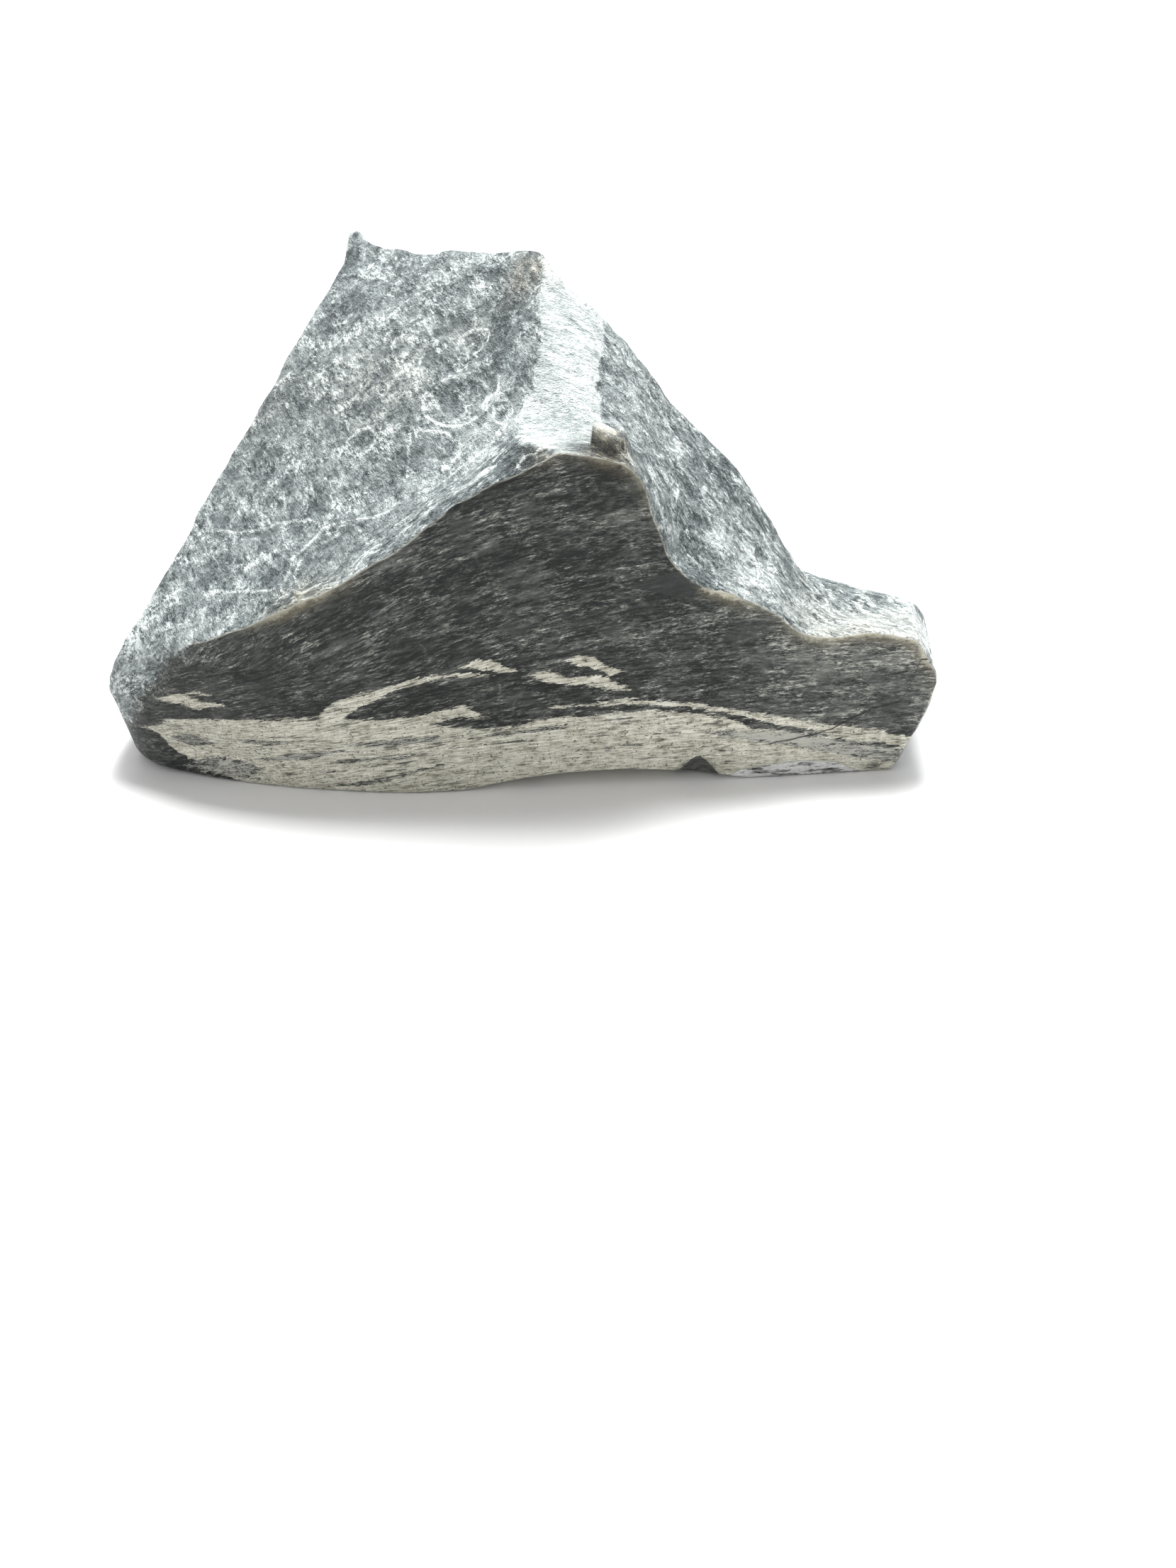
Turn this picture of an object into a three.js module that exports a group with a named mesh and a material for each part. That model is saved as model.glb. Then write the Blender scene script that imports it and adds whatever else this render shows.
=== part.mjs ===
/*
 * Alabaster rock: one broken block of grey and white banded alabaster that stands on a flat bed.
 * Millimetres. X runs to the right, Y to the back and Z up; the bed is the plane Z = 0.
 *
 * The block is what is left inside a set of break faces. Each face is a plane through three corner
 * points of the stone, with shallow hollows where a flake came away, a slow swell and a pattern of
 * scars. The main hill has a steep split front, a long upper left face, a narrow channel down from
 * its ridge and a hollow right face. A low shelf runs out from it to the right and round the back.
 */
import * as THREE from 'three';

// ---------------------------------------------------------------- driving dimensions
const CELLS = 28;               // cells along each side of the six patches of the skin
const SHARPENING_TURNS = 2;     // rounds that move the skin's points onto the ridges

const at = (x, y, z) => new THREE.Vector3(x, y, z);

// Corners of the hill
const PEAK = at(-78.5, 41.5, 196);
const RIDGE_END = at(-4.5, -13.5, 198.5);
const LEFT_CORNER = at(-160.5, -89.5, 68.5);
const EDGE_LEFT = at(-96, -120.5, 84.5);
const EDGE_RIGHT = at(0, -116.5, 139.5);
const KNUCKLE = at(25, -101.5, 155);
const CHANNEL_HEAD = at(9.5, -52.5, 181.5);
const CHANNEL_RIGHT = at(34.5, -41.5, 174.5);
const HILL_RIGHT_TOP = at(34.5, -33.5, 177);
const RIGHT_EDGE_TOP = at(43.5, -112.5, 133);
const RIGHT_SKYLINE_HIGH = at(61.5, -38.5, 146.5);
const RIGHT_SKYLINE_LOW = at(87, -43.5, 118);
const NOTCH = at(60.5, -108.5, 99.5);

// Corners of the shelf
const SHELF_INNER = at(115.5, -101.5, 67);
const SHELF_FRONT = at(160.5, -98, 64);
const SHELF_BACK = at(124.5, -30.5, 69.5);
const SHELF_TIP = at(170, -53.5, 62.5);
const TIP = at(172.5, -88.5, 48.5);

const EDGE_RUN = at(96, 4, 55);         // the way the long front edge climbs
const CHANNEL_RUN = at(1, 8, 6);        // the way the channel climbs

// ---------------------------------------------------------------- relief
const whole = Math.floor;

// A number from 0 to 1 for each whole-number point, made by mixing the bits of its coordinates.
function lattice(ix, iy, iz, seed) {
  let h = Math.imul(ix, 73856093) ^ Math.imul(iy, 19349663) ^ Math.imul(iz, 83492791);
  h = (h ^ Math.imul(seed, 40503)) >>> 0;
  h = Math.imul(h ^ (h >>> 16), 0x7feb352d) >>> 0;
  h = Math.imul(h ^ (h >>> 15), 0x846ca68b) >>> 0;
  h = (h ^ (h >>> 16)) >>> 0;
  return h / 4294967296;
}

// Value noise from -1 to 1: the eight lattice numbers round a point, blended by a smooth step.
function smoothNoise(p, size, seed) {
  const cell = [whole(p.x / size), whole(p.y / size), whole(p.z / size)];
  const part = [p.x / size - cell[0], p.y / size - cell[1], p.z / size - cell[2]];
  const blend = part.map((t) => t * t * (3 - 2 * t));
  let total = 0;
  for (let corner = 0; corner < 8; corner += 1) {
    const step = [corner & 1, (corner >> 1) & 1, corner >> 2];
    let weight = 1;
    for (let k = 0; k < 3; k += 1) {
      weight *= step[k] ? blend[k] : 1 - blend[k];
    }
    total += weight * lattice(cell[0] + step[0], cell[1] + step[1], cell[2] + step[2], seed);
  }
  return 2 * total - 1;
}

// Squared distance, in cells, to the nearest of a set of scattered points, one in each cell.
function nearestPoint(p, size, seed) {
  const q = [p.x / size, p.y / size, p.z / size];
  const cell = q.map(whole);
  let nearest = 9;
  for (let dx = -1; dx <= 1; dx += 1) {
    for (let dy = -1; dy <= 1; dy += 1) {
      for (let dz = -1; dz <= 1; dz += 1) {
        const c = [cell[0] + dx, cell[1] + dy, cell[2] + dz];
        let square = 0;
        for (let k = 0; k < 3; k += 1) {
          const point = c[k] + 0.5 + 0.9 * (lattice(c[0], c[1], c[2], seed + k) - 0.5);
          square += (q[k] - point) ** 2;
        }
        nearest = Math.min(nearest, square);
      }
    }
  }
  return nearest;
}

// The swell and the scars of one of two sets, both about -1 to 1, over coordinates bent by 4 mm.
function relief(p, set) {
  const bend = [0, 1, 2].map((k) => 4 * smoothNoise(p, 30, 11 + 10 * set + k));
  const q = at(p.x + bend[0], p.y + bend[1], p.z + bend[2]);
  return {
    swell: 0.65 * smoothNoise(q, 60, 21 + set) + 0.35 * smoothNoise(q, 27, 31 + set),
    scars: 0.65 * (0.5 - 2 * nearestPoint(q, 24, 41 + 5 * set))
      + 0.35 * (0.5 - 2 * nearestPoint(q, 11, 61 + 5 * set)),
  };
}

// ---------------------------------------------------------------- faces
// A hollow is a smooth dip: its deepest point, the way it is longest, length, width and depth.
function hollow(point, run, length, width, depth) {
  return { point, run: run.clone().normalize(), length, width, depth };
}

const IN_HILL = at(-1, -33.5, 50);
const IN_SHELF = at(86, -13.5, 30);

// One break face: a plane through three corners that looks away from a point inside the stone.
function face(a, b, c, hollows, swell, scars, inside = IN_HILL) {
  const normal = b.clone().sub(a).cross(c.clone().sub(a)).normalize();
  if (normal.dot(inside.clone().sub(a)) > 0) {
    normal.negate();
  }
  return { normal, offset: normal.dot(a), hollows, swell, scars };
}

const ACROSS = at(1, 0, 0);
const UPRIGHT = at(0, 0, 1);
const horn = hollow(PEAK, UPRIGHT, 5, 5, -4);
const saddle = hollow(at(-39, 14.5, 199), ACROSS, 22, 14, 2);
const shoulder = hollow(at(88, -43, 116), at(1, 0, -1), 16, 12, -4.5);

const FACES = {
  front: face(at(159, -93.5, 0), at(-69, -113.5, 0), at(27, -115, 145.5), [
    hollow(at(110, -99.5, -1), ACROSS, 17, 3.5, -6),
  ], 0.8, 0),
  frontLeft: face(at(-69, -115.5, 0), at(-159, -94, 0), at(-130.5, -112, 71), [], 1.2, 0.3),
  leftEnd: face(at(-183, -83.5, 40), at(-177, -88.5, 8), at(-177, -13.5, 8), [], 1.5, 0.6),
  backLeft: face(at(-77.5, 41.5, 196), LEFT_CORNER, at(-187, -13.5, 20), [
    horn,
  ], 1.5, 1),
  upperLeft: face(EDGE_LEFT, EDGE_RIGHT, PEAK, [
    hollow(at(-22, -47.5, 178), at(1, 4, 3), 26, 17, 9),
    hollow(at(-36, -86.5, 137), EDGE_RUN, 45, 15, 7),
    hollow(at(-104, -71.5, 100), EDGE_RUN, 30, 22, 4),
    hollow(at(-124, -98.5, 80), EDGE_RUN, 20, 14, 1),
    hollow(at(-49, -117.5, 110), EDGE_RUN, 25, 12, 2),
    hollow(at(-16, -115.5, 131), EDGE_RUN, 14, 9, -2.5),
    saddle,
    horn,
  ], 1.6, 1.3),
  channel: face(KNUCKLE, CHANNEL_HEAD, CHANNEL_RIGHT, [
    hollow(at(-4, -93.5, 147), EDGE_RUN, 24, 18, 17),
    hollow(at(4, -29, 196), CHANNEL_RUN, 12, 10, -6),
    hollow(at(21, -69.5, 167), CHANNEL_RUN, 14, 9, 2),
  ], 0.4, 0.3),
  right: face(RIGHT_EDGE_TOP, RIGHT_SKYLINE_HIGH, RIGHT_SKYLINE_LOW, [
    hollow(NOTCH.clone().add(at(1, 0, -3)), at(6, 1, -8), 20, 15, 11.5),
    hollow(at(24, -86, 159), at(0, 2, 1), 17, 11, 5),
    hollow(at(41, -112.5, 138), at(1, 0, -0.8), 11, 9, -5),
    hollow(at(100, -101, 76), at(1, 0, -0.5), 14, 9, -2),
    shoulder,
  ], 1.3, 1.2),
  back: face(PEAK, RIDGE_END, at(-74, 116.5, 0), [
    hollow(at(-44, 76.5, 110), at(1, 0, 0.3), 60, 40, 9),
    hollow(at(12, -27, 191), ACROSS, 9, 10, 5),
    saddle,
    horn,
  ], 3, 2),
  backRight: face(HILL_RIGHT_TOP, RIGHT_SKYLINE_LOW, at(86, 76.5, 0), [
    hollow(at(66, 26.5, 90), at(0, 5, -8), 50, 30, 7),
    shoulder,
  ], 3, 2),
  shelf: face(SHELF_INNER, SHELF_FRONT, SHELF_BACK, [
    hollow(at(141, -99, 67), ACROSS, 12, 10, -3.5),
    hollow(at(142, -70, 67), at(1, -0.3, 0), 20, 8, 2),
  ], 1.2, 1.2, IN_SHELF),
  shelfSlope: face(SHELF_BACK, SHELF_TIP, at(161, 46.5, 0), [], 2, 1.5, IN_SHELF),
  shelfSide: face(at(-124, 106.5, 0), at(-69, 6.5, 0), at(1, 66.5, 66), [], 2, 1.6, IN_SHELF),
  shelfFoot: face(at(166, 26.5, 0), at(6, 88.5, 0), at(86, 41.5, 62), [
    hollow(at(121, 56.5, 40), at(1, -0.6, 0), 30, 18, 5),
  ], 2, 1.6),
  backCorner: face(at(-170, 32.5, 0), at(-86, 114.5, 0), at(-102, 62.5, 130), [
    hollow(at(-124, 66.5, 60), at(7, 6, 0), 30, 28, 5),
  ], 2, 1.6),
  tipUpper: face(at(167, -78.5, 59.5), TIP, SHELF_FRONT, [], 1, 0.8),
  tipLower: face(TIP, at(169.5, -89.5, 14), at(177, -33.5, 40), [], 1.2, 1),
  tipFront: face(at(162.5, -97, 55), at(111, -99, 18.5), at(163, -91.5, 0), [], 0.8, 0.4),
  tipFoot: face(at(159.5, -92, 0), at(168.5, -90, 25), at(178, -30, 10), [], 1, 0.8),
};

// A scoop is a shell-shaped chip: part of a large ball bitten out of the stone to a small depth.
function scoop(point, way, radius, depth) {
  const centre = point.clone().addScaledVector(way.clone().normalize(), radius - depth);
  return { centre, radius };
}

const tilted = (normal, x, y, z) => normal.clone().add(at(x, y, z));
const UP_LEFT = FACES.upperLeft.normal;
const FRONT = FACES.front.normal;
const RIGHT = FACES.right.normal;
const ARCHED_FOOT = scoop(at(44, -103.5, 7.5), at(0, -0.42, -0.9), 280, 0);
const CHIPS = [
  scoop(at(62.5, -108, 94), tilted(FRONT, 0.3, 0, -0.3), 14, 1.2),
  scoop(at(73, -100.5, 7), tilted(FRONT, 0, 0, -0.6), 14, 3),
  scoop(at(2, -113, 144.5), tilted(UP_LEFT, 0.3, -0.5, 0), 8, 2.2),
  scoop(at(22, -109, 150), at(-0.3, -0.6, 1), 6, 2),
  scoop(at(-23, -61, 154), tilted(UP_LEFT, 0, -0.15, 0), 36, 2),
  scoop(at(-5, -78.5, 153), tilted(UP_LEFT, 0, -0.1, 0), 15, 1.2),
  scoop(at(-75, -99, 103.5), UP_LEFT, 60, 1.3),
  scoop(at(-23, -38, 168), tilted(UP_LEFT, 0.3, 0, 0), 14, 1.1),
  scoop(at(-62, -63, 137), tilted(UP_LEFT, -0.2, -0.2, 0), 18, 1.2),
  scoop(at(-79, 2, 172), UP_LEFT, 22, 1.2),
  scoop(at(87, -91, 95), tilted(RIGHT, 0.2, 0, 0), 12, 1.4),
  scoop(at(97, -80, 91), tilted(RIGHT, 0, 0.2, 0), 9, 1.5),
  scoop(at(59, -67, 137), RIGHT, 12, 1),
  scoop(at(127, -66, 70), at(0.2, -0.3, 1), 6, 2),
  scoop(at(122, -84, 68.5), at(0.3, -0.2, 1), 5, 1.6),
];

// A small knob and a square chip of brown stone, both left standing on the knuckle
const KNOB = { centre: at(12.5, -111.5, 142.5), radius: 4 };
const CHIP_SIDES = [
  [at(33, -110.5, 146), at(0.05, -1, 0.25)], [at(27, -108, 148), at(-1, 0, 0.1)],
  [at(40, -108, 145), at(1, -0.2, 0.25)], [at(33, -108, 152), at(0.5, -0.1, 1)],
  [at(33, -100, 148), at(0, 1, 0.5)],
].map(([point, way]) => ({ point, way: way.normalize() }));

// ---------------------------------------------------------------- the body
// The larger of two numbers, rounded over where they are within k of each other.
function blendedMax(a, b, k) {
  const h = Math.max(k - Math.abs(a - b), 0) / k;
  return Math.max(a, b) + h * h * k * 0.25;
}

const blendedMin = (a, b, k) => -blendedMax(-a, -b, k);

// Height of a point above one face: above its plane, plus the dips, the swell and the scars.
function above(f, p, grain) {
  let height = p.dot(f.normal) - f.offset + f.swell * grain.swell + f.scars * grain.scars;
  for (const dip of f.hollows) {
    const r = p.clone().sub(dip.point);
    const along = r.dot(dip.run);
    const aside = r.lengthSq() - along * along;
    const fall = (along / dip.length) ** 2 + aside / dip.width ** 2;
    height += dip.depth * Math.exp(-0.5 * fall);
  }
  return height;
}

const SMOOTH = { swell: 0, scars: 0 };

// About how far a point is outside the stone, in mm; it is negative inside.
function outside(p, rough = true) {
  const sets = rough ? [relief(p, 0), relief(p, 1)] : [SMOOTH, SMOOTH];
  const h = {};
  Object.keys(FACES).forEach((name, i) => {
    h[name] = above(FACES[name], p, sets[i % 2]);
  });
  let front = blendedMax(h.front, h.frontLeft, 14);
  front = blendedMax(front, h.tipFront, 1);
  front = blendedMax(front, h.leftEnd, 22);
  let hill = blendedMax(h.upperLeft, h.channel, 1.5);
  hill = blendedMax(hill, blendedMax(h.right, h.backRight, 3), 1.5);
  hill = blendedMax(hill, h.back, 2);
  const shelf = blendedMax(blendedMax(h.shelf, h.shelfSlope, 4), h.shelfSide, 6);
  let top = blendedMin(hill, shelf, 10);
  top = blendedMin(top, p.distanceTo(KNOB.centre) - KNOB.radius, 0.8);
  const past = CHIP_SIDES.map(({ point, way }) => p.clone().sub(point).dot(way));
  top = blendedMin(top, Math.max(...past), 0.8);
  const tip = blendedMax(blendedMax(h.tipUpper, h.tipLower, 3), h.tipFoot, 3);
  const back = blendedMax(h.backLeft, blendedMax(h.shelfFoot, h.backCorner, 3), 3);
  // Edges are sharp along the front and worn round towards the left end.
  const worn = Math.min(Math.max((-118 - p.x) / 40, 0), 1) ** 2;
  let body = blendedMax(top, front, 1 + 18 * worn);
  body = blendedMax(body, blendedMax(tip, back, 2), 1.5);
  body = blendedMax(body, ARCHED_FOOT.radius - p.distanceTo(ARCHED_FOOT.centre), 0.6);
  for (const chip of CHIPS) {
    const bite = chip.radius - p.distanceTo(chip.centre) + 0.5 * sets[0].scars;
    body = blendedMax(body, bite, 0.6);
  }
  return blendedMax(body, -p.z, 2 + 5 * worn);
}

// ---------------------------------------------------------------- the skin
const HEART = at(-4, -11.5, 38);
const CORE = at(105, 52, 16);           // half sizes of an egg that lies wholly inside the stone

// Moves a point that is near the skin onto it, along a given way.
function settle(point, way, steps) {
  const p = point.clone();
  for (let step = 0; step < steps; step += 1) {
    p.addScaledVector(way, -0.8 * outside(p));
  }
  return p;
}

// The way straight out of the stone at a point, from the change of `outside` over 2 mm.
function wayOut(p) {
  const slope = (axis) => {
    const more = outside(p.clone().addScaledVector(axis, 1));
    return more - outside(p.clone().addScaledVector(axis, -1));
  };
  return at(slope(ACROSS), slope(at(0, 1, 0)), slope(UPRIGHT)).normalize();
}

// Where the line from the core in one way meets the skin: halvings first, then fine steps.
function skinPoint(way) {
  const start = HEART.clone().add(way.clone().multiply(CORE));
  let near = 0;
  let far = 300;
  for (let step = 0; step < 16; step += 1) {
    const middle = (near + far) / 2;
    if (outside(start.clone().addScaledVector(way, middle), false) < 0) {
      near = middle;
    } else {
      far = middle;
    }
  }
  return settle(start.addScaledVector(way, near), way, 12);
}

// Six square patches that cover a ball, each of CELLS by CELLS cells of even angle. Neighbouring
// patches share the points of their common edge.
function ballPatches() {
  const points = [];
  const quads = [];
  const known = new Map();
  const sides = [
    (a, b) => at(1, a, b), (a, b) => at(-1, b, a), (a, b) => at(b, 1, a),
    (a, b) => at(a, -1, b), (a, b) => at(a, b, 1), (a, b) => at(b, a, -1),
  ];
  const even = (i) => Math.tan((Math.PI / 2) * (i / CELLS - 0.5));
  for (const side of sides) {
    const number = (i, j) => {
      const p = side(even(i), even(j)).normalize();
      const key = p.toArray().map((t) => Math.round(t * 1e6)).join();
      if (!known.has(key)) {
        known.set(key, points.push(p) - 1);
      }
      return known.get(key);
    };
    for (let i = 0; i < CELLS; i += 1) {
      for (let j = 0; j < CELLS; j += 1) {
        quads.push([number(i, j), number(i + 1, j), number(i + 1, j + 1), number(i, j + 1)]);
      }
    }
  }
  return { points, quads };
}

// Moves a point to where the tangent planes round it come closest to meeting, so that it sits on
// a ridge or in a crease where there is one. A small pull keeps it in place on open ground.
function sharpened(point, tangents) {
  const pull = 0.1;
  const m = new Float64Array(9);
  const right = at(0, 0, 0);
  for (const t of tangents) {
    const n = t.normal.toArray();
    const miss = t.normal.dot(t.place.clone().sub(point));
    for (let i = 0; i < 3; i += 1) {
      for (let j = 0; j < 3; j += 1) {
        m[3 * i + j] += n[i] * n[j] / tangents.length;
      }
    }
    right.addScaledVector(t.normal, miss / tangents.length);
  }
  const system = new THREE.Matrix3(
    m[0] + pull, m[1], m[2], m[3], m[4] + pull, m[5], m[6], m[7], m[8] + pull,
  );
  const reach = tangents.reduce((sum, t) => sum + t.place.distanceTo(point), 0);
  const move = right.applyMatrix3(system.invert());
  return point.clone().add(move.clampLength(0, 0.6 * reach / tangents.length));
}

// One round of sharpening: the tangent plane at the middle of every quad pulls on its corners.
function sharpenSkin(skin, quads) {
  const round = skin.map(() => []);
  for (const quad of quads) {
    const middle = at(0, 0, 0);
    quad.forEach((i) => middle.addScaledVector(skin[i], 0.25));
    const place = settle(middle, wayOut(middle), 4);
    const tangent = { place, normal: wayOut(place) };
    quad.forEach((i) => round[i].push(tangent));
  }
  return skin.map((p, i) => sharpened(p, round[i]));
}

function buildSkin() {
  const { points, quads } = ballPatches();
  let skin = points.map((way) => skinPoint(way));
  for (let turn = 0; turn < SHARPENING_TURNS; turn += 1) {
    skin = sharpenSkin(skin, quads);
  }
  skin.forEach((p) => {
    p.z = p.z < 0.6 ? 0 : p.z;
  });
  // Each quad is split along the diagonal whose middle lies nearer to the stone's surface.
  const strays = (i, j) => Math.abs(outside(skin[i].clone().lerp(skin[j], 0.5)));
  const triangles = [];
  for (const [a, b, c, d] of quads) {
    const first = strays(a, c) <= strays(b, d);
    triangles.push(...(first ? [a, b, c, a, c, d] : [a, b, d, b, c, d]));
  }
  const geometry = new THREE.BufferGeometry();
  const flat = skin.flatMap((p) => p.toArray());
  geometry.setAttribute('position', new THREE.Float32BufferAttribute(flat, 3));
  geometry.setIndex(triangles);
  geometry.computeVertexNormals();
  return geometry;
}

// ---------------------------------------------------------------- the part
const alabaster = new THREE.MeshStandardMaterial({
  name: 'alabaster',
  color: 0xa9afae,
  roughness: 0.62,
  metalness: 0,
});

const rock = new THREE.Mesh(buildSkin(), alabaster);
rock.name = 'alabaster_rock';

const part = new THREE.Group();
part.name = 'alabaster_rock_part';
part.add(rock);

export default part;
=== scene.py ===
"""Alabaster rock: the finished stone, for Blender 4.5.

A broken block of grey and white banded alabaster that stands on its flat bed: a steep split front
with foliation lines and a cream crust, bright crushed break faces above it, a narrow white channel
down from the ridge, a hollow right face and a low shelf. The skin is worked out with numpy in
millimetres from the same break faces as the CAD solid, with finer relief, and is given to Blender
in metres.
"""
import math

import bpy
import numpy as np
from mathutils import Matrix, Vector


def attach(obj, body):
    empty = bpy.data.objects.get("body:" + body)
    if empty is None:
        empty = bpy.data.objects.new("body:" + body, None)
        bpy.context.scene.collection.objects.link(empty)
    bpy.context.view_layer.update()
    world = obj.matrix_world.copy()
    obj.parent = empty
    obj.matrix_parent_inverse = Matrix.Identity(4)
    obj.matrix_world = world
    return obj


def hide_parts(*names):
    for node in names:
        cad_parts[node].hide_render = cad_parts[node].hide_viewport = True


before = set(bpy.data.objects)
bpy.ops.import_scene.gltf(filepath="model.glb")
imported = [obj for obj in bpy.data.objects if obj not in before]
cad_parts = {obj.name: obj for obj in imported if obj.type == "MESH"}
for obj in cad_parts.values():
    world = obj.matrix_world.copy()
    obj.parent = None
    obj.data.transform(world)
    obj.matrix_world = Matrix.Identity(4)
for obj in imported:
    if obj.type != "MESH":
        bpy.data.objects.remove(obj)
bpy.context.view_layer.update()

# ================================================================ sizes, in millimetres
MM = 0.001                              # metres in a millimetre
CELLS = 128       # cells along each side of the six patches of the skin


def at(x, y, z):
    """A point or a way, in millimetres."""
    return np.array([x, y, z], float)


def unit(way):
    """The way itself, one long."""
    return way / np.linalg.norm(way)


# Corners of the hill
PEAK = at(-78.5, 41.5, 196)
RIDGE_END = at(-4.5, -13.5, 198.5)
LEFT_CORNER = at(-160.5, -89.5, 68.5)
EDGE_LEFT = at(-96, -120.5, 84.5)
EDGE_RIGHT = at(0, -116.5, 139.5)
KNUCKLE = at(25, -101.5, 155)
CHANNEL_HEAD = at(9.5, -52.5, 181.5)
CHANNEL_RIGHT = at(34.5, -41.5, 174.5)
HILL_RIGHT_TOP = at(34.5, -33.5, 177)
RIGHT_EDGE_TOP = at(43.5, -112.5, 133)
RIGHT_SKYLINE_HIGH = at(61.5, -38.5, 146.5)
RIGHT_SKYLINE_LOW = at(87, -43.5, 118)
NOTCH = at(60.5, -108.5, 99.5)

# Corners of the shelf
SHELF_INNER = at(115.5, -101.5, 67)
SHELF_FRONT = at(160.5, -98, 64)
SHELF_BACK = at(124.5, -30.5, 69.5)
SHELF_TIP = at(170, -53.5, 62.5)
TIP = at(172.5, -88.5, 48.5)

EDGE_RUN = at(96, 4, 55)                # the way the long front edge climbs
CHANNEL_RUN = at(1, 8, 6)               # the way the channel climbs
ACROSS = at(1, 0, 0)
UPRIGHT = at(0, 0, 1)

# Points inside the stone
IN_HILL = at(-1, -33.5, 50)
IN_SHELF = at(86, -13.5, 30)
HEART = at(-4, -11.5, 38)
CORE = at(105, 52, 16)                  # half sizes of an egg that lies wholly inside the stone

WORN_FROM = -118                        # x from which the edges are worn round, towards the left
WORN_OVER = 40                          # how much further left they are fully worn
BED_SNAP = 0.35                         # skin lower than this is set flat on the bed


# ================================================================ relief
def lattice(cell, seed):
    """A number from 0 to 1 for each whole-number point, made by mixing the bits of its three
    coordinates and a seed."""
    ix, iy, iz = cell.astype(np.int64).T
    mixed = (ix * 73856093) ^ (iy * 19349663) ^ (iz * 83492791) ^ (seed * 40503)
    h = (mixed & 0xFFFFFFFF).astype(np.uint32)
    h ^= h >> np.uint32(16)
    h *= np.uint32(0x7FEB352D)
    h ^= h >> np.uint32(15)
    h *= np.uint32(0x846CA68B)
    h ^= h >> np.uint32(16)
    return h / 4294967296.0


def smooth_noise(p, size, seed):
    """Value noise from -1 to 1: the eight lattice numbers round a point, blended along each axis
    by t * t * (3 - 2 * t)."""
    cell = np.floor(p / size)
    part = p / size - cell
    blend = part * part * (3 - 2 * part)
    total = np.zeros(len(p))
    for corner in np.ndindex(2, 2, 2):
        weight = np.where(np.array(corner), blend, 1 - blend).prod(axis=1)
        total += weight * lattice(cell + corner, seed)
    return 2 * total - 1


def nearest_point(p, size, seed):
    """Squared distance, in cells, to the nearest of a set of scattered points, one in each cell."""
    q = p / size
    cell = np.floor(q)
    nearest = np.full(len(p), 9.0)
    for step in np.ndindex(3, 3, 3):
        c = cell + np.array(step) - 1
        jitter = np.stack([lattice(c, seed + k) for k in range(3)], axis=1)
        point = c + 0.5 + 0.9 * (jitter - 0.5)
        nearest = np.minimum(nearest, ((q - point) ** 2).sum(axis=1))
    return nearest


def relief_at(p):
    """The swell, the scars and the grain of two sets, each about -1 to 1. The coordinates are bent
    by 4 mm first. The swell has waves of 60 and 27 mm, the scars are shallow bowls 24 and 11 mm
    apart, and the grain has waves of 6 and 2.8 mm."""
    sets = []
    for k in range(2):
        bend = np.stack([smooth_noise(p, 30, 11 + 10 * k + i) for i in range(3)], axis=1)
        q = p + 4 * bend
        swell = 0.65 * smooth_noise(q, 60, 21 + k) + 0.35 * smooth_noise(q, 27, 31 + k)
        large = 0.5 - 2 * nearest_point(q, 24, 41 + 5 * k)
        small = 0.5 - 2 * nearest_point(q, 11, 61 + 5 * k)
        grain = 0.6 * smooth_noise(q, 6, 71 + k) + 0.4 * smooth_noise(q, 2.8, 81 + k)
        sets.append((swell, 0.65 * large + 0.35 * small, grain))
    return sets


SMOOTH = [(0.0, 0.0, 0.0)] * 2          # both sets, for a stone without relief


# ================================================================ break faces
class Hollow:
    """A smooth dip: depth * exp(-0.5 * ((along / length) ** 2 + (aside / width) ** 2))."""

    def __init__(self, point, run, length, width, depth):
        self.point = point
        self.run = unit(run)
        self.length = length
        self.width = width
        self.depth = depth

    def dip(self, p):
        """How deep the hollow is at each point; along is measured down its run and aside from it."""
        r = p - self.point
        along = r @ self.run
        aside = (r * r).sum(axis=1) - along ** 2
        fall = (along / self.length) ** 2 + aside / self.width ** 2
        return self.depth * np.exp(-0.5 * fall)


class Face:
    """A plane through three corners that looks away from a point inside the stone, with hollows,
    and with its share in mm of the swell, the scars and the grain."""

    def __init__(self, a, b, c, hollows, swell, scars, grain, inside=IN_HILL):
        normal = unit(np.cross(b - a, c - a))
        self.normal = -normal if normal @ (inside - a) > 0 else normal
        self.offset = self.normal @ a
        self.hollows = hollows
        self.shares = (swell, scars, grain)

    def above(self, p, relief):
        """Height above the plane, plus the dips and the face's share of the relief."""
        height = p @ self.normal - self.offset
        for share, part in zip(self.shares, relief):
            height = height + share * part
        for hollow in self.hollows:
            height = height + hollow.dip(p)
        return height


HORN = Hollow(PEAK, UPRIGHT, 5, 5, -4)
SADDLE = Hollow(at(-39, 14.5, 199), ACROSS, 22, 14, 2)
SHOULDER = Hollow(at(88, -43, 116), at(1, 0, -1), 16, 12, -4.5)

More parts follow.
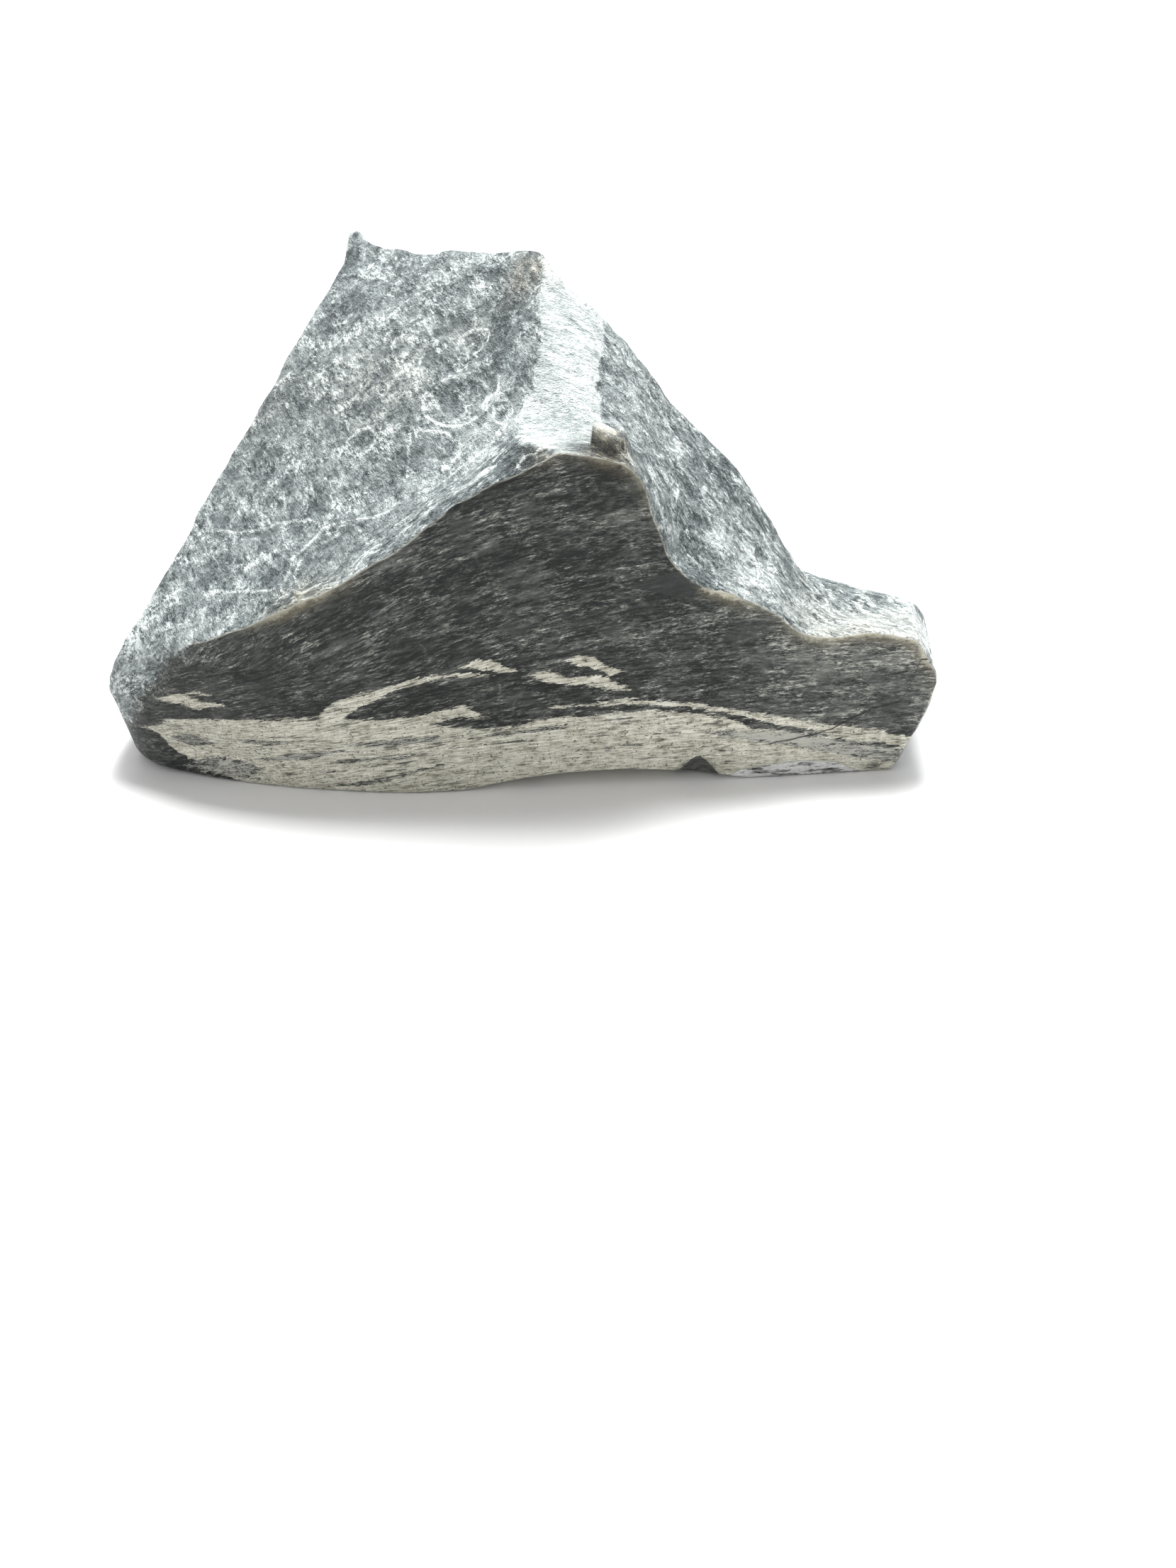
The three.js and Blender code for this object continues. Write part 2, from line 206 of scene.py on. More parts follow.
# Each face: three points of its plane, its hollows, and its shares of the relief
FACES = {
    "front": Face(at(159, -93.5, 0), at(-69, -113.5, 0), at(27, -115, 145.5), [
        Hollow(at(110, -99.5, -1), ACROSS, 17, 3.5, -6),
    ], 0.8, 0, 0.1),
    "front_left": Face(at(-69, -115.5, 0), at(-159, -94, 0), at(-130.5, -112, 71), [], 1.2, 0.3, 0.2),
    "left_end": Face(at(-183, -83.5, 40), at(-177, -88.5, 8), at(-177, -13.5, 8), [],
                     1.5, 0.6, 0.3),
    "back_left": Face(at(-77.5, 41.5, 196), LEFT_CORNER, at(-187, -13.5, 20), [
        HORN,
    ], 1.5, 1, 0.4),
    "upper_left": Face(EDGE_LEFT, EDGE_RIGHT, PEAK, [
        Hollow(at(-22, -47.5, 178), at(1, 4, 3), 26, 17, 9),
        Hollow(at(-36, -86.5, 137), EDGE_RUN, 45, 15, 7),
        Hollow(at(-104, -71.5, 100), EDGE_RUN, 30, 22, 4),
        Hollow(at(-124, -98.5, 80), EDGE_RUN, 20, 14, 1),
        Hollow(at(-49, -117.5, 110), EDGE_RUN, 25, 12, 2),
        Hollow(at(-16, -115.5, 131), EDGE_RUN, 14, 9, -2.5),
        SADDLE,
        HORN,
    ], 1.6, 1.3, 0.5),
    "channel": Face(KNUCKLE, CHANNEL_HEAD, CHANNEL_RIGHT, [
        Hollow(at(-4, -93.5, 147), EDGE_RUN, 24, 18, 17),
        Hollow(at(4, -29, 196), CHANNEL_RUN, 12, 10, -6),
        Hollow(at(21, -69.5, 167), CHANNEL_RUN, 14, 9, 2),
    ], 0.4, 0.3, 0.25),
    "right": Face(RIGHT_EDGE_TOP, RIGHT_SKYLINE_HIGH, RIGHT_SKYLINE_LOW, [
        Hollow(NOTCH + at(1, 0, -3), at(6, 1, -8), 20, 15, 11.5),
        Hollow(at(24, -86, 159), at(0, 2, 1), 17, 11, 5),
        Hollow(at(41, -112.5, 138), at(1, 0, -0.8), 11, 9, -5),
        Hollow(at(100, -101, 76), at(1, 0, -0.5), 14, 9, -2),
        SHOULDER,
    ], 1.3, 1.2, 0.5),
    "back": Face(PEAK, RIDGE_END, at(-74, 116.5, 0), [
        Hollow(at(-44, 76.5, 110), at(1, 0, 0.3), 60, 40, 9),
        Hollow(at(12, -27, 191), ACROSS, 9, 10, 5),
        SADDLE,
        HORN,
    ], 3, 2, 0.5),
    "back_right": Face(HILL_RIGHT_TOP, RIGHT_SKYLINE_LOW, at(86, 76.5, 0), [
        Hollow(at(66, 26.5, 90), at(0, 5, -8), 50, 30, 7),
        SHOULDER,
    ], 3, 2, 0.5),
    "shelf": Face(SHELF_INNER, SHELF_FRONT, SHELF_BACK, [
        Hollow(at(141, -99, 67), ACROSS, 12, 10, -3.5),
        Hollow(at(142, -70, 67), at(1, -0.3, 0), 20, 8, 2),
    ], 1.2, 1.2, 0.7, IN_SHELF),
    "shelf_slope": Face(SHELF_BACK, SHELF_TIP, at(161, 46.5, 0), [], 2, 1.5, 0.5, IN_SHELF),
    "shelf_side": Face(at(-124, 106.5, 0), at(-69, 6.5, 0), at(1, 66.5, 66), [], 2, 1.6, 0.5, IN_SHELF),
    "shelf_foot": Face(at(166, 26.5, 0), at(6, 88.5, 0), at(86, 41.5, 62), [
        Hollow(at(121, 56.5, 40), at(1, -0.6, 0), 30, 18, 5),
    ], 2, 1.6, 0.5),
    "back_corner": Face(at(-170, 32.5, 0), at(-86, 114.5, 0), at(-102, 62.5, 130), [
        Hollow(at(-124, 66.5, 60), at(7, 6, 0), 30, 28, 5),
    ], 2, 1.6, 0.5),
    "tip_upper": Face(at(167, -78.5, 59.5), TIP, SHELF_FRONT, [], 1, 0.8, 0.4),
    "tip_lower": Face(TIP, at(169.5, -89.5, 14), at(177, -33.5, 40), [], 1.2, 1, 0.4),
    "tip_front": Face(at(162.5, -97, 55), at(111, -99, 18.5), at(163, -91.5, 0), [], 0.8, 0.4, 0.3),
    "tip_foot": Face(at(159.5, -92, 0), at(168.5, -90, 25), at(178, -30, 10), [], 1, 0.8, 0.4),
}


class Block:
    """A small angular piece left standing: all that lies behind each of its planes, a plane being
    a point on it and its way out."""

    def __init__(self, *planes):
        self.planes = planes

    def distance(self, p):
        """The largest of the heights above the planes, in mm."""
        return np.max([(p - point) @ unit(way) for point, way in self.planes], axis=0)


class Ball:
    """A ball: a chip is bitten out of the stone by one, and a knob is one left standing."""

    def __init__(self, centre, radius, rough=0.0):
        self.centre = centre
        self.radius = radius
        self.rough = rough

    def distance(self, p):
        """Distance to the centre less the radius, in mm."""
        return np.sqrt(((p - self.centre) ** 2).sum(axis=1)) - self.radius


def scoop(point, way, radius, depth, rough=0.5):
    """A shell-shaped chip: part of a large ball that bites into the stone to a small depth."""
    return Ball(point + unit(way) * (radius - depth), radius, rough)


UP_LEFT = FACES["upper_left"].normal
FRONT = FACES["front"].normal
RIGHT = FACES["right"].normal
CHIPS = [
    # the arch of the foot, then chips on the front: in the notch, at the foot and at the knuckle
    scoop(at(44, -103.5, 7.5), at(0, -0.42, -0.9), 280, 0, 0.0),
    scoop(at(62.5, -108, 94), FRONT + at(0.3, 0, -0.3), 14, 1.2),
    scoop(at(73, -100.5, 7), FRONT + at(0, 0, -0.6), 14, 3),
    scoop(at(2, -113, 144.5), UP_LEFT + at(0.3, -0.5, 0), 8, 2.2),
    scoop(at(22, -109, 150), at(-0.3, -0.6, 1), 6, 2),
    # the upper left face: the large round one, the one beside it, and shallow ones
    scoop(at(-23, -61, 154), UP_LEFT + at(0, -0.15, 0), 36, 2),
    scoop(at(-5, -78.5, 153), UP_LEFT + at(0, -0.1, 0), 15, 1.2),
    scoop(at(-75, -99, 103.5), UP_LEFT, 60, 1.3),
    scoop(at(-23, -38, 168), UP_LEFT + at(0.3, 0, 0), 14, 1.1),
    scoop(at(-62, -63, 137), UP_LEFT + at(-0.2, -0.2, 0), 18, 1.2),
    scoop(at(-79, 2, 172), UP_LEFT, 22, 1.2),
    # the right face
    scoop(at(87, -91, 95), RIGHT + at(0.2, 0, 0), 12, 1.4),
    scoop(at(97, -80, 91), RIGHT + at(0, 0.2, 0), 9, 1.5),
    scoop(at(59, -67, 137), RIGHT, 12, 1.0),
    # the shelf
    scoop(at(127, -66, 70), at(0.2, -0.3, 1), 6, 2),
    scoop(at(122, -84, 68.5), at(0.3, -0.2, 1), 5, 1.6),
]
KNOBS = [
    # a round lump and a flat-sided block on the knuckle
    Ball(at(12.5, -111.5, 142.5), 4),
    Block((at(33, -110.5, 146), at(0.05, -1, 0.25)), (at(27, -108, 148), at(-1, 0, 0.1)),
          (at(40, -108, 145), at(1, -0.2, 0.25)), (at(33, -108, 152), at(0.5, -0.1, 1)),
          (at(33, -100, 148), at(0, 1, 0.5))),
]


# ================================================================ the body
def blended_max(a, b, k):
    """The larger of two numbers, rounded over where they are within k of each other."""
    h = np.maximum(k - np.abs(a - b), 0) / k
    return np.maximum(a, b) + h * h * k * 0.25


def blended_min(a, b, k):
    """The smaller of two numbers, rounded in the same way."""
    return -blended_max(-a, -b, k)


def outside(p, relief):
    """About how far each point is outside the stone, in mm, negative inside, and the heights that
    it is made of: each face's, those of the groups of faces, and the deepest chip's. The faces of
    a convex group join by the larger height, and the hill, the shelf and the knobs by the smaller.
    Each join is rounded over a few mm, and the joins at the worn left end over up to 22 mm."""
    h = {name: face.above(p, relief[i % 2]) for i, (name, face) in enumerate(FACES.items())}
    front = blended_max(h["front"], h["front_left"], 14)
    front = blended_max(front, h["tip_front"], 1)
    front = blended_max(front, h["left_end"], 22)
    hill = blended_max(h["upper_left"], h["channel"], 1.5)
    hill = blended_max(hill, blended_max(h["right"], h["back_right"], 3), 1.5)
    hill = blended_max(hill, h["back"], 2)
    shelf = blended_max(blended_max(h["shelf"], h["shelf_slope"], 4), h["shelf_side"], 6)
    top = blended_min(hill, shelf, 10)
    for knob in KNOBS:
        top = blended_min(top, knob.distance(p), 0.8)
    tip = blended_max(blended_max(h["tip_upper"], h["tip_lower"], 3), h["tip_foot"], 3)
    back = blended_max(h["back_left"], blended_max(h["shelf_foot"], h["back_corner"], 3), 3)
    worn = np.clip((WORN_FROM - p[:, 0]) / WORN_OVER, 0, 1) ** 2
    whole = blended_max(blended_max(top, front, 1 + 18 * worn), blended_max(tip, back, 2), 1.5)
    body = whole
    scars = relief[0][1]
    bites = np.full(len(p), -99.0)
    for chip in CHIPS:
        bite = chip.rough * scars - chip.distance(p)
        bites = np.maximum(bites, bite)
        body = blended_max(body, bite, 0.6)
    h.update(front_side=front, hill=hill, shelf_all=shelf, top=top, tip=tip, ends=back,
             bites=bites, whole=whole)
    return blended_max(body, -p[:, 2], 2 + 5 * worn), h


# ================================================================ the skin
def ball_patches(n):
    """Six square patches that cover a ball. A point of a patch is (1, tan a, tan b) brought to
    length one, for n + 1 even angles a and b from -45 to 45 degrees, and the six patches are its
    turns. Patches share the points of their common edges. Returns the points and the quads."""
    even = np.tan((np.pi / 2) * (np.arange(n + 1) / n - 0.5))
    a, b = (side.ravel() for side in np.meshgrid(even, even, indexing="ij"))
    one = np.ones_like(a)
    sides = [(one, a, b), (-one, b, a), (b, one, a), (a, -one, b), (a, b, one), (b, a, -one)]
    points = np.concatenate([np.stack(side, axis=1) for side in sides])
    points /= np.linalg.norm(points, axis=1)[:, None]
    rounded = np.round(points * 1e6).astype(np.int64)
    _, kept, number = np.unique(rounded, axis=0, return_index=True, return_inverse=True)
    i, j = (step.ravel() for step in np.meshgrid(np.arange(n), np.arange(n), indexing="ij"))
    corner = i * (n + 1) + j
    square = np.stack([corner, corner + n + 1, corner + n + 2, corner + 1], axis=1)
    quads = np.concatenate([square + side * (n + 1) ** 2 for side in range(6)])
    return points[kept], number.ravel()[quads]


def settle(p, way, relief, steps):
    """Moves points that are near the skin onto it, each along its own way, by steps of -0.8 of
    their height outside."""
    for _ in range(steps):
        p = p - 0.8 * outside(p, relief)[0][:, None] * way
    return p


def way_out(p, relief):
    """The way straight out of the stone, from the change of `outside` over 2 mm along each axis."""
    slope = [outside(p + axis, relief)[0] - outside(p - axis, relief)[0] for axis in np.eye(3)]
    slope = np.stack(slope, axis=1)
    return slope / np.linalg.norm(slope, axis=1)[:, None]


def first_skin(ways):
    """Where the line from the egg in each way meets the skin: 16 halvings without relief, then
    three turns of fine steps, each with the relief of the place that the last one reached."""
    start = HEART + ways * CORE
    near = np.zeros(len(ways))
    far = np.full(len(ways), 300.0)
    for _ in range(16):
        middle = (near + far) / 2
        is_in = outside(start + ways * middle[:, None], SMOOTH)[0] < 0
        near = np.where(is_in, middle, near)
        far = np.where(is_in, far, middle)
    p = start + ways * near[:, None]
    for _ in range(3):
        p = settle(p, ways, relief_at(p), 8)
    return p


def sharpened(p, quads):
    """One round of sharpening. Each quad has a tangent plane where its middle meets the stone, and
    a point on a ridge or in a crease moves to where the planes round it come closest to meeting:
    it solves (mean of n n' + 0.1) move = mean of n (n . (place - point)). Open ground stays."""
    middle = p[quads].mean(axis=1)
    relief = relief_at(middle)
    place = settle(middle, way_out(middle, relief), relief, 4)
    normal = way_out(place, relief)
    count = np.bincount(quads.ravel(), minlength=len(p)).astype(float)

    def mean_round(values):
        return np.bincount(quads.ravel(), np.repeat(values, 4), minlength=len(p)) / count

    n = normal.T
    matrix = np.array([[mean_round(n[i] * n[j]) for j in range(3)] for i in range(3)])
    distance = (normal * place).sum(axis=1)
    mean_normal = np.stack([mean_round(n[i]) for i in range(3)], axis=1)
    right = np.stack([mean_round(n[i] * distance) for i in range(3)], axis=1)
    matrix = matrix.transpose(2, 0, 1)
    right = right - np.einsum("vij,vj->vi", matrix, p)
    move = np.linalg.solve(matrix + 0.1 * np.eye(3), right[:, :, None])[:, :, 0]
    reach = mean_round(np.linalg.norm(p[quads].mean(axis=1) - p[quads[:, 0]], axis=1))
    length = np.linalg.norm(move, axis=1)
    move *= np.minimum(1, 0.6 * reach / np.maximum(length, 1e-9))[:, None]
    bend = 1 - np.linalg.norm(mean_normal, axis=1)
    crease = np.clip((bend - 0.004) / 0.02, 0, 1)
    return p + crease[:, None] * move, place, normal


def triangles(p, quads, place, normal):
    """Splits each quad along the diagonal whose middle lies nearer to the stone's tangent plane."""
    def strays(i, j):
        middle = (p[quads[:, i]] + p[quads[:, j]]) / 2
        return np.abs(((middle - place) * normal).sum(axis=1))

    first = strays(0, 2) <= strays(1, 3)
    one = np.where(first[:, None], quads[:, [0, 1, 2]], quads[:, [0, 1, 3]])
    two = np.where(first[:, None], quads[:, [0, 2, 3]], quads[:, [1, 2, 3]])
    return np.stack([one, two], axis=1).reshape(-1, 3)


# ================================================================ markings
class Band:
    """A lens-shaped marking on the front: for each distance x along the front, a lowest and a
    highest height z, joined by straight lines."""

    def __init__(self, *outline):
        self.x, self.low, self.high = np.array(outline, float).T

    def depth(self, p):
        """How far a point is inside the band, in mm: the smaller of its heights above the lower
        edge and below the upper one, less how far it is past the ends."""
        x = p[:, 0]
        z = p[:, 2]
        above_low = z - np.interp(x, self.x, self.low)
        below_high = np.interp(x, self.x, self.high) - z
        past = np.maximum(self.x[0] - x, 0) + np.maximum(x - self.x[-1], 0)
        return np.minimum(above_low, below_high) - 0.3 * past


def deepest(p, bands):
    """How far each point is inside the band that it is furthest inside, in mm."""
    return np.max([band.depth(p) for band in bands], axis=0)


CRUST = [       # cream crust: the wide layer along the foot, then loose patches above it
    Band((-157, 22, 26), (-150, 12, 31), (-129, 2, 33), (-105, -9, 36), (-84, -9, 38),
         (-62, -9, 38), (-40, -9, 35), (-17, -9, 31.5), (18, -9, 36), (49, -9, 37.5),
         (80, -9, 34), (95, -9, 26), (118, -9, 22), (140, -9, 17), (168, -9, 8)),
    Band((-84, 36, 38), (-77, 34, 46), (-68, 42, 49.5), (-59, 47, 51.5), (-46, 52.5, 56),
         (-27, 56.5, 58.5), (-14, 56, 57)),
    Band((-66, 33, 36), (-48, 33, 38), (-34, 35, 41), (-24, 37, 43), (-18, 36, 38)),
    Band((14, 40, 42), (45, 40.5, 43), (72, 37, 39.5), (95, 30.5, 33.5), (118, 23.5, 28.5),
         (140, 17, 24), (168, 11, 17)),
    Band((-150, 40, 42), (-143, 39, 44.5), (-136, 37, 43), (-128, 40, 42), (-124, 41, 42)),
    Band((-137, 45, 46), (-133, 44.5, 47.5), (-129, 45.5, 46.5)),
    Band((-24, 60, 61), (-17, 59.5, 64.5), (-9, 58, 62), (-3, 57.5, 58.5)),
    Band((8, 53, 58), (17, 50.5, 55), (30, 49.5, 54.5), (42, 46.5, 49)),
    Band((22, 60, 64), (28, 58, 63), (35, 55, 58)),
]
BARE = [        # grey windows where the crust has come off
    Band((-150, 20, 21), (-143, 17, 24), (-134, 19, 21)),
    Band((-147, 4, 6), (-136, 3, 13), (-121, 3, 13), (-112, 8, 9)),
    Band((-121, 23, 24), (-108, 22.5, 25), (-97, 24, 25)),
    Band((-112, 14, 15), (-99, 15, 19), (-86, 18, 21), (-76, 21, 22)),
    Band((-78, 15, 17), (-64, 16.5, 18.5), (-48, 18, 19.5), (-40, 20, 21)),
    Band((-72, 24, 25), (-58, 24, 27.5), (-40, 26, 28.5), (-26, 28, 29)),
    Band((-84, 2, 3), (-70, 3.5, 6), (-50, 9, 11), (-34, 14, 15)),
    Band((-22, 26, 27), (-8, 27.5, 29), (8, 29, 31), (22, 31, 32)),
    Band((-30, 22.5, 23), (-10, 23.5, 24.5), (6, 24, 25)),
    Band((76, 24.5, 25.5), (92, 20, 25), (109, 17, 23.5), (125, 12.5, 20), (139, 9, 17),
         (155, 5, 13), (168, 4, 8)),
    Band((62, -2, 0), (73, -2, 14), (84, -2, 1)),
]
PAINTED_SHADE_FACETS = [        # painted shade: near black on the chip facet in the notch and the chip facet at the foot, which lie in shade
    Band((59.5, 88.5, 99.5), (62, 88, 97.5), (66.5, 87.5, 94.5), (69.5, 91, 92.5)),
    Band((63, -2, 0), (69, -2, 8), (73, -2, 15), (77, -2, 8.5), (84, -2, 0.5)),
]
CRUSHED_BACK = -85      # y behind which nothing is crushed
# Crushed white stone under the arch of the foot
CRUSHED = Band((84, -2, 1), (92, -2, 5), (112, -2, 7.5), (134, -2, 6.5), (143, -2, 1))


def soft_patches(p, patches):
    """Sum of strength * exp(-0.5 * (distance / radius) ** 2) over round patches, each a centre, a
    radius and a strength."""
    total = np.zeros(len(p))
    for centre, radius, strength in patches:
        total += strength * np.exp(-0.5 * ((p - centre) ** 2).sum(axis=1) / radius ** 2)
    return total


TONE_PATCHES_AND_PAINTED_SHADE = [      # lighter stone above 0, darker below: crushed white stone, and painted shade and light at the knuckle and in the hollow beside the channel's head
    (at(-8, -82, 146), 12, 0.5),
    (at(-34, -98, 127), 12, 0.3),
    (at(-60, -116, 108), 10, 0.15),
    (at(80, -94, 92), 11, 0.35),
    (at(98, -88, 84), 10, 0.3),
    (at(120, -92, 70), 14, 0.5),
    (at(150, -85, 66), 16, 0.55),
    (at(50, -100, 118), 9, 0.25),
    (at(170, -72, 56), 14, 0.5),
    # partly darker stone, partly painted shade in the hollow of the upper left face beside the channel's
    # head
    (at(-12, -50, 172), 18, -0.35),
    (at(-2, -46, 181), 8, -0.15),
    (at(-75, -96, 101), 12, -0.12),
    (at(68, -70, 122), 14, -0.15),
    (at(-120, -14, 140), 12, -0.15),
    (at(-168, -85, 55), 16, 0.30),
    (at(-176, -60, 50), 20, 0.3),
    (at(-152, -95, 66), 12, 0.35),
    (at(-128, -104, 76), 9, 0.15),
    (at(98, -101, 2), 8, 1.1),
    (at(114, -100, 1), 8, 1.1),
    (at(130, -98, 1), 8, 1.1),
    # painted shade on the front of the flat-sided knob and in the nick beside it, painted light on its top
    (at(34, -111, 146), 5.5, -1.35),
    (at(33.5, -107, 152), 3, 0.9),
    (at(25, -110, 149), 3, -0.9),
    (at(73, -98, 7), 6, 0.12),
    (at(166, -94, 38), 7, 0.25),
    (at(38, -68, 153), 15, 0.22),
    (at(59, -67, 137), 5, 0.3),
    (at(58, -51, 144), 5, 0.3),
    (at(1, -62, 170), 4, 0.5),
    (at(-92, 12, 170), 4, 0.3),
    (at(-62, -10, 173), 3, 0.35),
    (at(-71, -22, 160), 4, 0.3),
    (at(-81, -31, 149), 4, 0.3),
    (at(-94, 16, 174), 4, -0.3),
    (at(-83, 8, 174), 5, -0.35),
    (at(-76, 3, 173), 4, -0.3),
    (at(87, -91, 95), 9, 0.25),
    (at(98, -67, 97), 6, 0.2),
    # painted shadow in the two nicks at the knuckle, and painted light on the top of the round knob
    (at(2, -113, 145), 5.5, -1.2),
    (at(20, -109, 150), 4, -1.0),
    (at(12.5, -112, 144), 4, 0.6),
]
CALM = [        # places where the stone is smooth and shows few flecks
    (at(-74, -98, 102), 11, 0.9),
    (at(62.5, -107, 93), 5, 1.0),
]
WARM = [        # brown and cream stone
    (at(2, -30, 193), 7, 0.8),
    (at(-25, -38, 181), 8, 0.35),
    (at(-82, -120, 86), 9, 1.1),
    (at(-60, -119, 95), 6, 0.4),
    (at(10, -114, 143), 5, 0.7),
    (at(-60, -42, 156), 20, 0.25),
    (at(-110, -20, 140), 18, 0.2),
    (at(33.5, -110, 147), 7, 1.2),
    (at(140, -100, 66), 22, 0.6),
]
GLOW = [        # painted glow: front edges thin enough for light to come through, coloured brown a few mm in and pale cream at the thinnest
    (at(34, -114, 138), 11, 0.45),
    (at(78, -105, 88), 6, 1.5),
    (at(92, -103, 79), 10, 0.15),
    (at(120, -100, 67), 9, 0.5),
    (at(136, -99, 68), 12, 1.3),
    (at(158, -98, 64), 10, 1.3),
    (at(-84, -119, 88), 12, 0.9),
]
VEINS = [       # strength, then the points of a thin white line or lip on the break faces
    (1.0, (-130, -63, 99), (-118, -68, 100), (-104, -73, 103), (-101, -73, 105), (-91, -77, 108),
     (-84, -80, 109), (-78, -86, 108), (-72, -89, 110), (-61, -93, 114), (-49, -97, 119)),
    (0.7, (-79, -70, 120), (-76, -71, 121), (-74, -74, 119), (-75, -76, 117), (-75, -79, 115)),
    (0.8, (-73, -65, 128), (-73, -63, 131), (-68, -60, 135), (-63, -61, 136), (-57, -63, 139),
     (-52, -65, 140), (-50, -64, 142)),
    (0.9, (-44, -66, 142), (-41, -68, 142), (-34, -71, 142), (-29, -74, 142), (-26, -78, 140),
     (-23, -80, 140), (-22, -85, 138), (-25, -87, 136)),
    (0.8, (-44, -67, 141), (-44, -71, 138), (-44, -77, 132), (-44, -82, 128)),
    (1.0, (-37, -57, 152), (-34, -54, 154), (-30, -51, 157), (-25, -52, 159), (-20, -55, 159),
     (-15, -60, 158), (-13, -67, 155), (-14, -69, 152), (-14, -74, 150)),
    (0.8, (-12, -68, 155), (-7, -73, 156), (-4, -76, 154)),
    (0.6, (-86, -108, 93), (-88, -102, 95), (-87, -97, 98), (-83, -93, 102), (-78, -93, 105),
     (-69, -94, 109)),
    (0.9, (-125, -90, 83), (-113, -97, 86), (-103, -103, 89), (-95, -107, 91), (-88, -111, 92),
     (-83, -114, 92), (-78, -112, 95), (-68, -118, 98), (-61, -119, 102)),
    (0.7, (-83, 28, 185), (-76, 23, 185), (-69, 16, 185), (-62, 12, 185), (-56, 9, 187),
     (-49, 6, 188)),
    (0.7, (-42, -8, 184), (-36, -9, 185), (-30, -11, 187)),
    (0.6, (-58, -12, 173), (-53, -9, 178), (-48, -7, 181), (-43, -8, 183)),
    (1.0, (-54, -26, 166), (-55, -30, 163), (-52, -36, 161), (-49, -40, 157), (-45, -47, 156),
     (-43, -45, 157), (-42, -41, 160), (-41, -38, 163)),
    (1.0, (-41, -23, 173), (-39, -27, 171), (-37, -31, 169)),
    (0.8, (-23, -20, 182), (-21, -24, 180), (-20, -29, 176)),
    (1.0, (-25, -35, 169), (-22, -42, 165), (-22, -46, 163), (-22, -52, 160)),
    (0.8, (-36, -32, 168), (-34, -38, 165)),
    (0.7, (-73, -120, 93), (-62, -119, 97), (-51, -119, 103), (-37, -118, 112), (-23, -118, 122)),
    (0.8, (-62, -113, 104), (-50, -112, 112), (-37, -111, 120)),
    (0.9, (-45, -113, 114), (-34, -111, 122), (-21, -111, 132), (-7, -108, 140)),
    (0.9, (-35, -99, 125), (-22, -94, 135), (-8, -91, 144), (-1, -85, 152)),
    (0.8, (-23, -112, 130), (-10, -105, 139), (-3, -99, 145)),
    (0.9, (53, -81, 136), (55, -84, 133), (56, -88, 129)),
    (0.9, (60, -85, 126), (61, -88, 124), (60, -92, 122)),
    (0.7, (70, -93, 107), (76, -89, 107), (80, -90, 101), (83, -89, 99)),
    (0.7, (72, -96, 102), (74, -99, 97), (76, -102, 94)),
    (0.9, (98, -80, 90), (100, -84, 87), (105, -85, 82), (107, -87, 79)),
    (0.8, (120, -59, 77), (135, -50, 68), (144, -55, 67), (153, -66, 65)),
    (0.8, (131, -36, 68), (157, -58, 66), (162, -70, 64)),
    (0.8, (114, -81, 74), (127, -80, 68), (139, -87, 67), (152, -85, 65)),
]


def vein_lines(p, normal):
    """For the line nearest to each point: the distance to it in mm, above 0 on one side and below
    on the other, and its strength, which falls to 0 from 2 to 4 mm away."""
    nearest = np.full(len(p), 99.0)
    signed = np.full(len(p), 9.0)
    strength = np.zeros(len(p))
    for amount, *points in VEINS:
        points = np.array(points, float)
        for a, b in zip(points[:-1], points[1:]):
            run = b - a
            share = np.clip((p - a) @ run / (run @ run), 0, 1)
            gap = p - a - share[:, None] * run
            distance = np.linalg.norm(gap, axis=1)
            side = np.sign((np.cross(run, gap) * normal).sum(axis=1))
            closer = distance < nearest
            nearest = np.where(closer, distance, nearest)
            signed = np.where(closer, np.where(side < 0, -distance, distance), signed)
            strength = np.where(closer, amount, strength)
    return np.clip(signed, -4, 4), strength * np.clip((4 - nearest) / 2, 0, 1)


# The crack on the front: x and height z of its points
CRACK = np.array([(76, 14), (99, 17), (111, 19), (123, 21.5), (129, 23), (135, 27), (146, 33),
                  (158, 36), (160, 43), (163, 56)], float)


def crack_height(p):
    """Height above the crack on the front, in mm: z less the crack's height at that x."""
    return p[:, 2] - np.interp(p[:, 0], CRACK[:, 0], CRACK[:, 1])


def past_fade(p):
    """How far to the right of the line where the split front fades into the pale left end, in mm:
    the line leans to the right as it climbs, x = 0.88 * z - 189.6."""
    return p[:, 0] + 189.6 - 0.88 * p[:, 2]


# ================================================================ grain
class Grain:
    """The way the crystals lie on a face. Lengths along the run are divided by the stretch, and
    the lines across it may curve, so that a pattern drawn on these coordinates is drawn out along
    the run."""

    def __init__(self, normal, run, stretch, bend=0.0, middle=None):
        self.run = unit(run - (run @ normal) * normal)
        self.across = np.cross(normal, self.run)
        self.normal = normal
        self.stretch = stretch
        self.bend = bend
        self.middle = at(0, 0, 0) if middle is None else middle

    def lay(self, p):
        """(along / stretch, across + bend * along ** 2, height), each from the middle point."""
        r = p - self.middle
        along = r @ self.run
        across = r @ self.across + self.bend * along ** 2
        return np.stack([along / self.stretch, across, r @ self.normal], axis=1)


def foliation(p):
    """Layers on the front: they climb to the right, by 0.28 in 1 at x = -10, steeper to the left
    and level at x = 130, and low ones climb less: z + share(z) * 15 * ((130 - x) / 140) ** 2.6.
    They are drawn out 4.5 times along X."""
    x, y, z = p.T
    climb = 15 * (np.maximum(130 - x, 0) / 140) ** 2.6
    share = 0.35 + 0.65 * np.clip((z - 15) / 45, 0, 1)
    return np.stack([x / 4.5, z + share * climb, y], axis=1)


def bedding(p):
    """Layers on the hidden sides: they climb by 0.25 in 1 to the right, and are drawn out twice
    along X and Y."""
    x, y, z = p.T
    return np.stack([x / 2, y / 2, z - 0.25 * x], axis=1)


